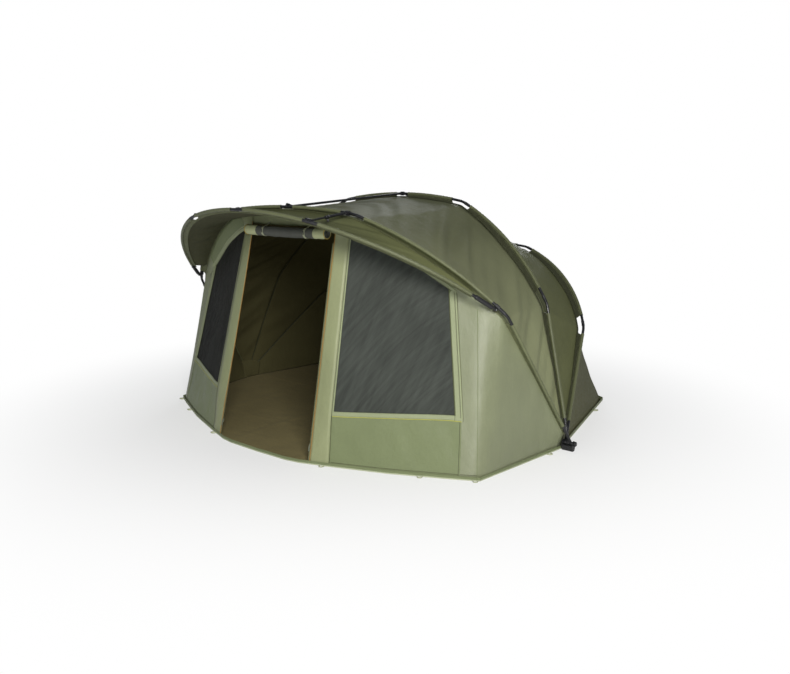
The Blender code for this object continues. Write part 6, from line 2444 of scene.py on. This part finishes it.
@dataclass(frozen=True)
class Hardware:
    """Hubs, hinges, clamps and brace bars."""

    hoops: Hoops
    bars: tuple[tuple[str, Point, Point], ...] = (
        ("front", (0, 0.236011, 1.609984), (0, -0.933439, 1.542076)),
        ("rear", (0, 0.290011, 1.609984), (0, 1.247542, 1.204833)))
    peak_pin: Point = (0.500267, -0.942941, 1.514106)
    peak_target: Point = (0.500267, -1.268365, 1.478493)
    rod_radius: float = 0.0062
    outer_radius: float = 0.009
    outer_end: float = 0.170248
    rod_inside: float = 0.0297
    knob_depth: float = 0.0106
    hub_knob_at: Point = (1.5988, 0, 0.05)
    rivet_out: float = 0.0084
    bar_knob_profile: Pairs = (
        (-NUDGE, 0.001), (0, 0.0052), (0.001, 0.0062), (0.003, 0.0072), (0.0135, 0.0076), (0.0152, 0.0072),
        (0.016, 0.006), (0.016 + NUDGE, 0.001))
    hub_knob_profile: Pairs = (
        (0, 0.001), (0, 0.0125), (0.0012, 0.0138), (0.004, 0.0145), (0.0125, 0.0145), (0.0148, 0.0138),
        (0.016, 0.0118), (0.016, 0.0075), (0.0148, 0.0068), (0.0148, 0.0005))
    hub_knob_grip: tuple[float, ...] = (0, 1, 1, 1, 1, 1, 1, 0.2, 0, 0)
    rivet_profile: Pairs = (
        (-0.0012, 0.0048), (0, 0.0049), (0.0008, 0.0045), (0.0015, 0.0034), (0.0019, 0.0018), (0.002, 0.0002))

    def braces(self) -> None:
        """Brace bars with their hooks, and the telescopic bars of the peak."""
        for name, pin, target in self.bars:
            bar = BraceBar(np.array(pin), target)
            pieces = [bar.bar(), bar.hook((1.0, 0, 0)), bar.eye()]
            fit(joined(f"{name}_bar_tube", pieces), "pole", f"{name}_brace", f"{name}_bar")
        peak = self.hoops.peak
        s = peak.at_x(self.peak_pin[0])
        tangent = peak.at(s + 0.004) - peak.at(s - 0.004)
        for side in Side:
            rod = BraceBar(mirror(self.peak_pin, side), mirror(self.peak_target, side), self.rod_radius,
                           self.outer_end - self.rod_inside)
            pieces = [rod.bar(), rod.hook(mirror(tangent, side))]
            fit(joined(f"peak_rod_tube_{side.mark}", pieces), "pole", f"peak_brace_{side.mark}",
                f"peak_rod_{side.mark}")
            self.outer_bar(side)

    def outer_bar(self, side: Side) -> None:
        """The outer tube of a telescopic bar, with its collar and turning knob.

        Args:
            side: Which side.
        """
        bar = BraceBar(mirror(self.peak_pin, side), mirror(self.peak_target, side), self.outer_radius)
        way, up, _ = bar.frame()
        end, rim = self.outer_end, self.outer_radius
        profile = ((bar.start, rim), (end - 0.036, rim), (end - 0.0355, 0.0098), (end - 0.034, 0.0105),
                   (end - 0.004, 0.0105), (end - 0.001, 0.0102), (end, 0.0092), (end + NUDGE, 0.0064))
        collar = turned("collar", np.array(self.peak_pin), way, profile, POLE, (1, 0, 0), side)
        fit(joined(f"peak_bar_tube_{side.mark}", [collar, bar.eye()]), "pole", f"peak_brace_{side.mark}",
            f"peak_bar_{side.mark}")
        top = self.peak_pin + way * (end - 0.02) - up * self.knob_depth
        knob = turned(f"bar_knob_grip_{side.mark}", top, -up, self.bar_knob_profile, KNOB_PLASTIC, way, side,
                      ring(36, 9, 0.07))
        fit(knob, "moulding", f"brace_lock_{side.mark}", f"bar_knob_{side.mark}")

    def hubs(self) -> None:
        """Clamp knobs on the hub bolts."""
        apart = np.column_stack([np.linspace(0, NUDGE, 10), np.zeros(10)])
        outline = ring(72, 6, 0.085 * np.array(self.hub_knob_grip))
        for side in Side:
            knob = turned(f"hub_knob_grip_{side.mark}", np.array(self.hub_knob_at), (1.0, 0, 0),
                          self.hub_knob_profile + apart, KNOB_PLASTIC, (0, 0, 1), side, outline)
            fit(knob, "moulding", f"hub_lock_{side.mark}", f"hub_knob_{side.mark}")

    def rivets(self) -> None:
        """Domed rivet heads on the hinge pins."""
        centres = (self.hoops.peak.at(0.0), np.array(self.peak_pin))
        for side in Side:
            heads = [turned("head", centre + (way * self.rivet_out, 0, 0), (way, 0, 0), self.rivet_profile,
                            STEEL, (0, 0, 1), side, ring(16)) for centre in centres for way in (-1, 1)]
            fit(joined(f"hinge_rivets_{side.mark}", heads), "steel", Body.FRONT)

    def carried(self) -> None:
        """Give the moulded and steel nodes that stay their finishes."""
        finishes = {"hub_block": MOULDING, "peak_bracket": MOULDING, "bar_clamp": MOULDING,
                    "crown_clamp": MOULDING, "hub_bolt": STEEL, "zip_slider": SLIDER}
        for name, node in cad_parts.items():
            for start, finish in finishes.items():
                for slot in node.material_slots if name.startswith(start) else ():
                    slot.link = "OBJECT"
                    slot.material = finish.material()

    def build(self) -> None:
        """Build the hardware."""
        self.braces()
        self.hubs()
        self.rivets()
        self.carried()


# Stage


@dataclass(frozen=True)
class Studio:
    """Floor, soft light and camera."""

    eye: Point = (3.580, -4.354, 1.703)
    turn_deg: Point = (78.41, 0.0, 38.35)
    lens: float = 34.68
    sensor: float = 36.0
    white: float = 0.93
    floor_size: float = 60
    floor_z: float = -0.0015
    fade_from: float = 1.0
    fade_to: float = 3.4
    fade_least: float = 0.42
    sky: Colour = (0.93, 0.97, 1.0)
    sky_strength: float = 0.24
    aim: Point = (0, 0, 0.7)
    lamps: tuple[tuple[str, Point, float, float, Colour], ...] = (
        ("key", (5.4, -5.2, 3.6), 2.2, 500.0, (1.0, 0.985, 0.95)),
        ("fill", (1.2, -7.0, 1.8), 4.0, 50.0, (0.97, 0.99, 1.0)),
        ("back", (-3.5, 7.0, 2.8), 4.0, 220.0, (0.97, 0.99, 1.0)))

    def seen(self, sheet: NodeSheet) -> Socket:
        """1 where the camera looks, straight or through something clear."""
        rays = sheet.add("ShaderNodeLightPath").outputs
        return sheet.math("MAXIMUM", rays["Is Camera Ray"], rays["Is Transmission Ray"])

    def floor(self) -> None:
        """A wide pale floor that fades to white."""
        bpy.ops.mesh.primitive_plane_add(size=self.floor_size, location=(0, 0, self.floor_z))
        floor = bpy.context.object
        floor.name = "studio_floor"
        material = bpy.data.materials.new("studio_floor")
        sheet = NodeSheet(material)
        place = sheet.add("ShaderNodeTexCoord").outputs["Object"]
        away = sheet.add("ShaderNodeVectorMath", operation="LENGTH", Vector=place).outputs["Value"]
        fade = sheet.add("ShaderNodeMapRange", interpolation_type="SMOOTHSTEP", Value=away,
                         From_Min=self.fade_from, From_Max=self.fade_to, To_Min=self.fade_least)
        share = sheet.math("MULTIPLY", fade.outputs["Result"], self.seen(sheet))
        sheet.set(sheet.shader, Base_Color=(self.white, self.white, self.white, 1), Roughness=0.9,
                  Specular_IOR_Level=0.0)
        glow = sheet.add("ShaderNodeEmission", Strength=1.0)
        mix = sheet.mix("ShaderNodeMixShader", share, sheet.shader.outputs["BSDF"], glow.outputs["Emission"])
        sheet.set(sheet.tree.nodes["Material Output"], Surface=mix.outputs["Shader"])
        floor.data.materials.append(material)

    def world(self) -> None:
        """Even light from all round, and white where the camera looks past the floor."""
        world = bpy.data.worlds.new("studio")
        bpy.context.scene.world = world
        sheet = NodeSheet(world)
        sheet.tree.nodes.clear()
        soft = sheet.add("ShaderNodeBackground", Color=(*self.sky, 1), Strength=self.sky_strength)
        plain = sheet.add("ShaderNodeBackground", Color=(1, 1, 1, 1))
        mix = sheet.mix("ShaderNodeMixShader", self.seen(sheet), soft.outputs[0], plain.outputs[0])
        sheet.add("ShaderNodeOutputWorld", Surface=mix.outputs[0])

    def lamp(self, name: str, place: Point, size: float, power: float,
             colour: Colour) -> None:
        """One soft area lamp that faces the tent.

        Args:
            name: Its name.
            place: Where it hangs.
            size: Side of its square.
            power: Watts.
            colour: Its colour.
        """
        light = bpy.data.lights.new(name, "AREA")
        light.size, light.energy, light.color = size, power, colour
        lamp = linked(name, light)
        lamp.location = place
        lamp.rotation_euler = (Vector(self.aim) - Vector(place)).to_track_quat("-Z", "Y").to_euler()

    def camera(self) -> None:
        """The camera, where the photograph was taken from."""
        data = bpy.data.cameras.new("camera")
        data.sensor_fit, data.sensor_width, data.lens = "HORIZONTAL", self.sensor, self.lens
        camera = linked("camera", data)
        camera.location = self.eye
        camera.rotation_euler = [math.radians(angle) for angle in self.turn_deg]
        bpy.context.scene.camera = camera

    def build(self) -> None:
        """Set the stage."""
        self.floor()
        self.world()
        for lamp in self.lamps:
            self.lamp(*lamp)
        self.camera()
        bpy.context.scene.view_settings.view_transform = "Standard"


def main() -> None:
    """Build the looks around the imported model."""
    logging.basicConfig(level=logging.INFO, format="%(message)s")
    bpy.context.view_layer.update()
    Studio().build()
    hoops = Hoops()
    for group in (Poles, Sleeves, Canopy, Walls, Door, Ground, Hardware):
        group(hoops).build()
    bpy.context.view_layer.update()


if __name__ == "__main__":
    main()
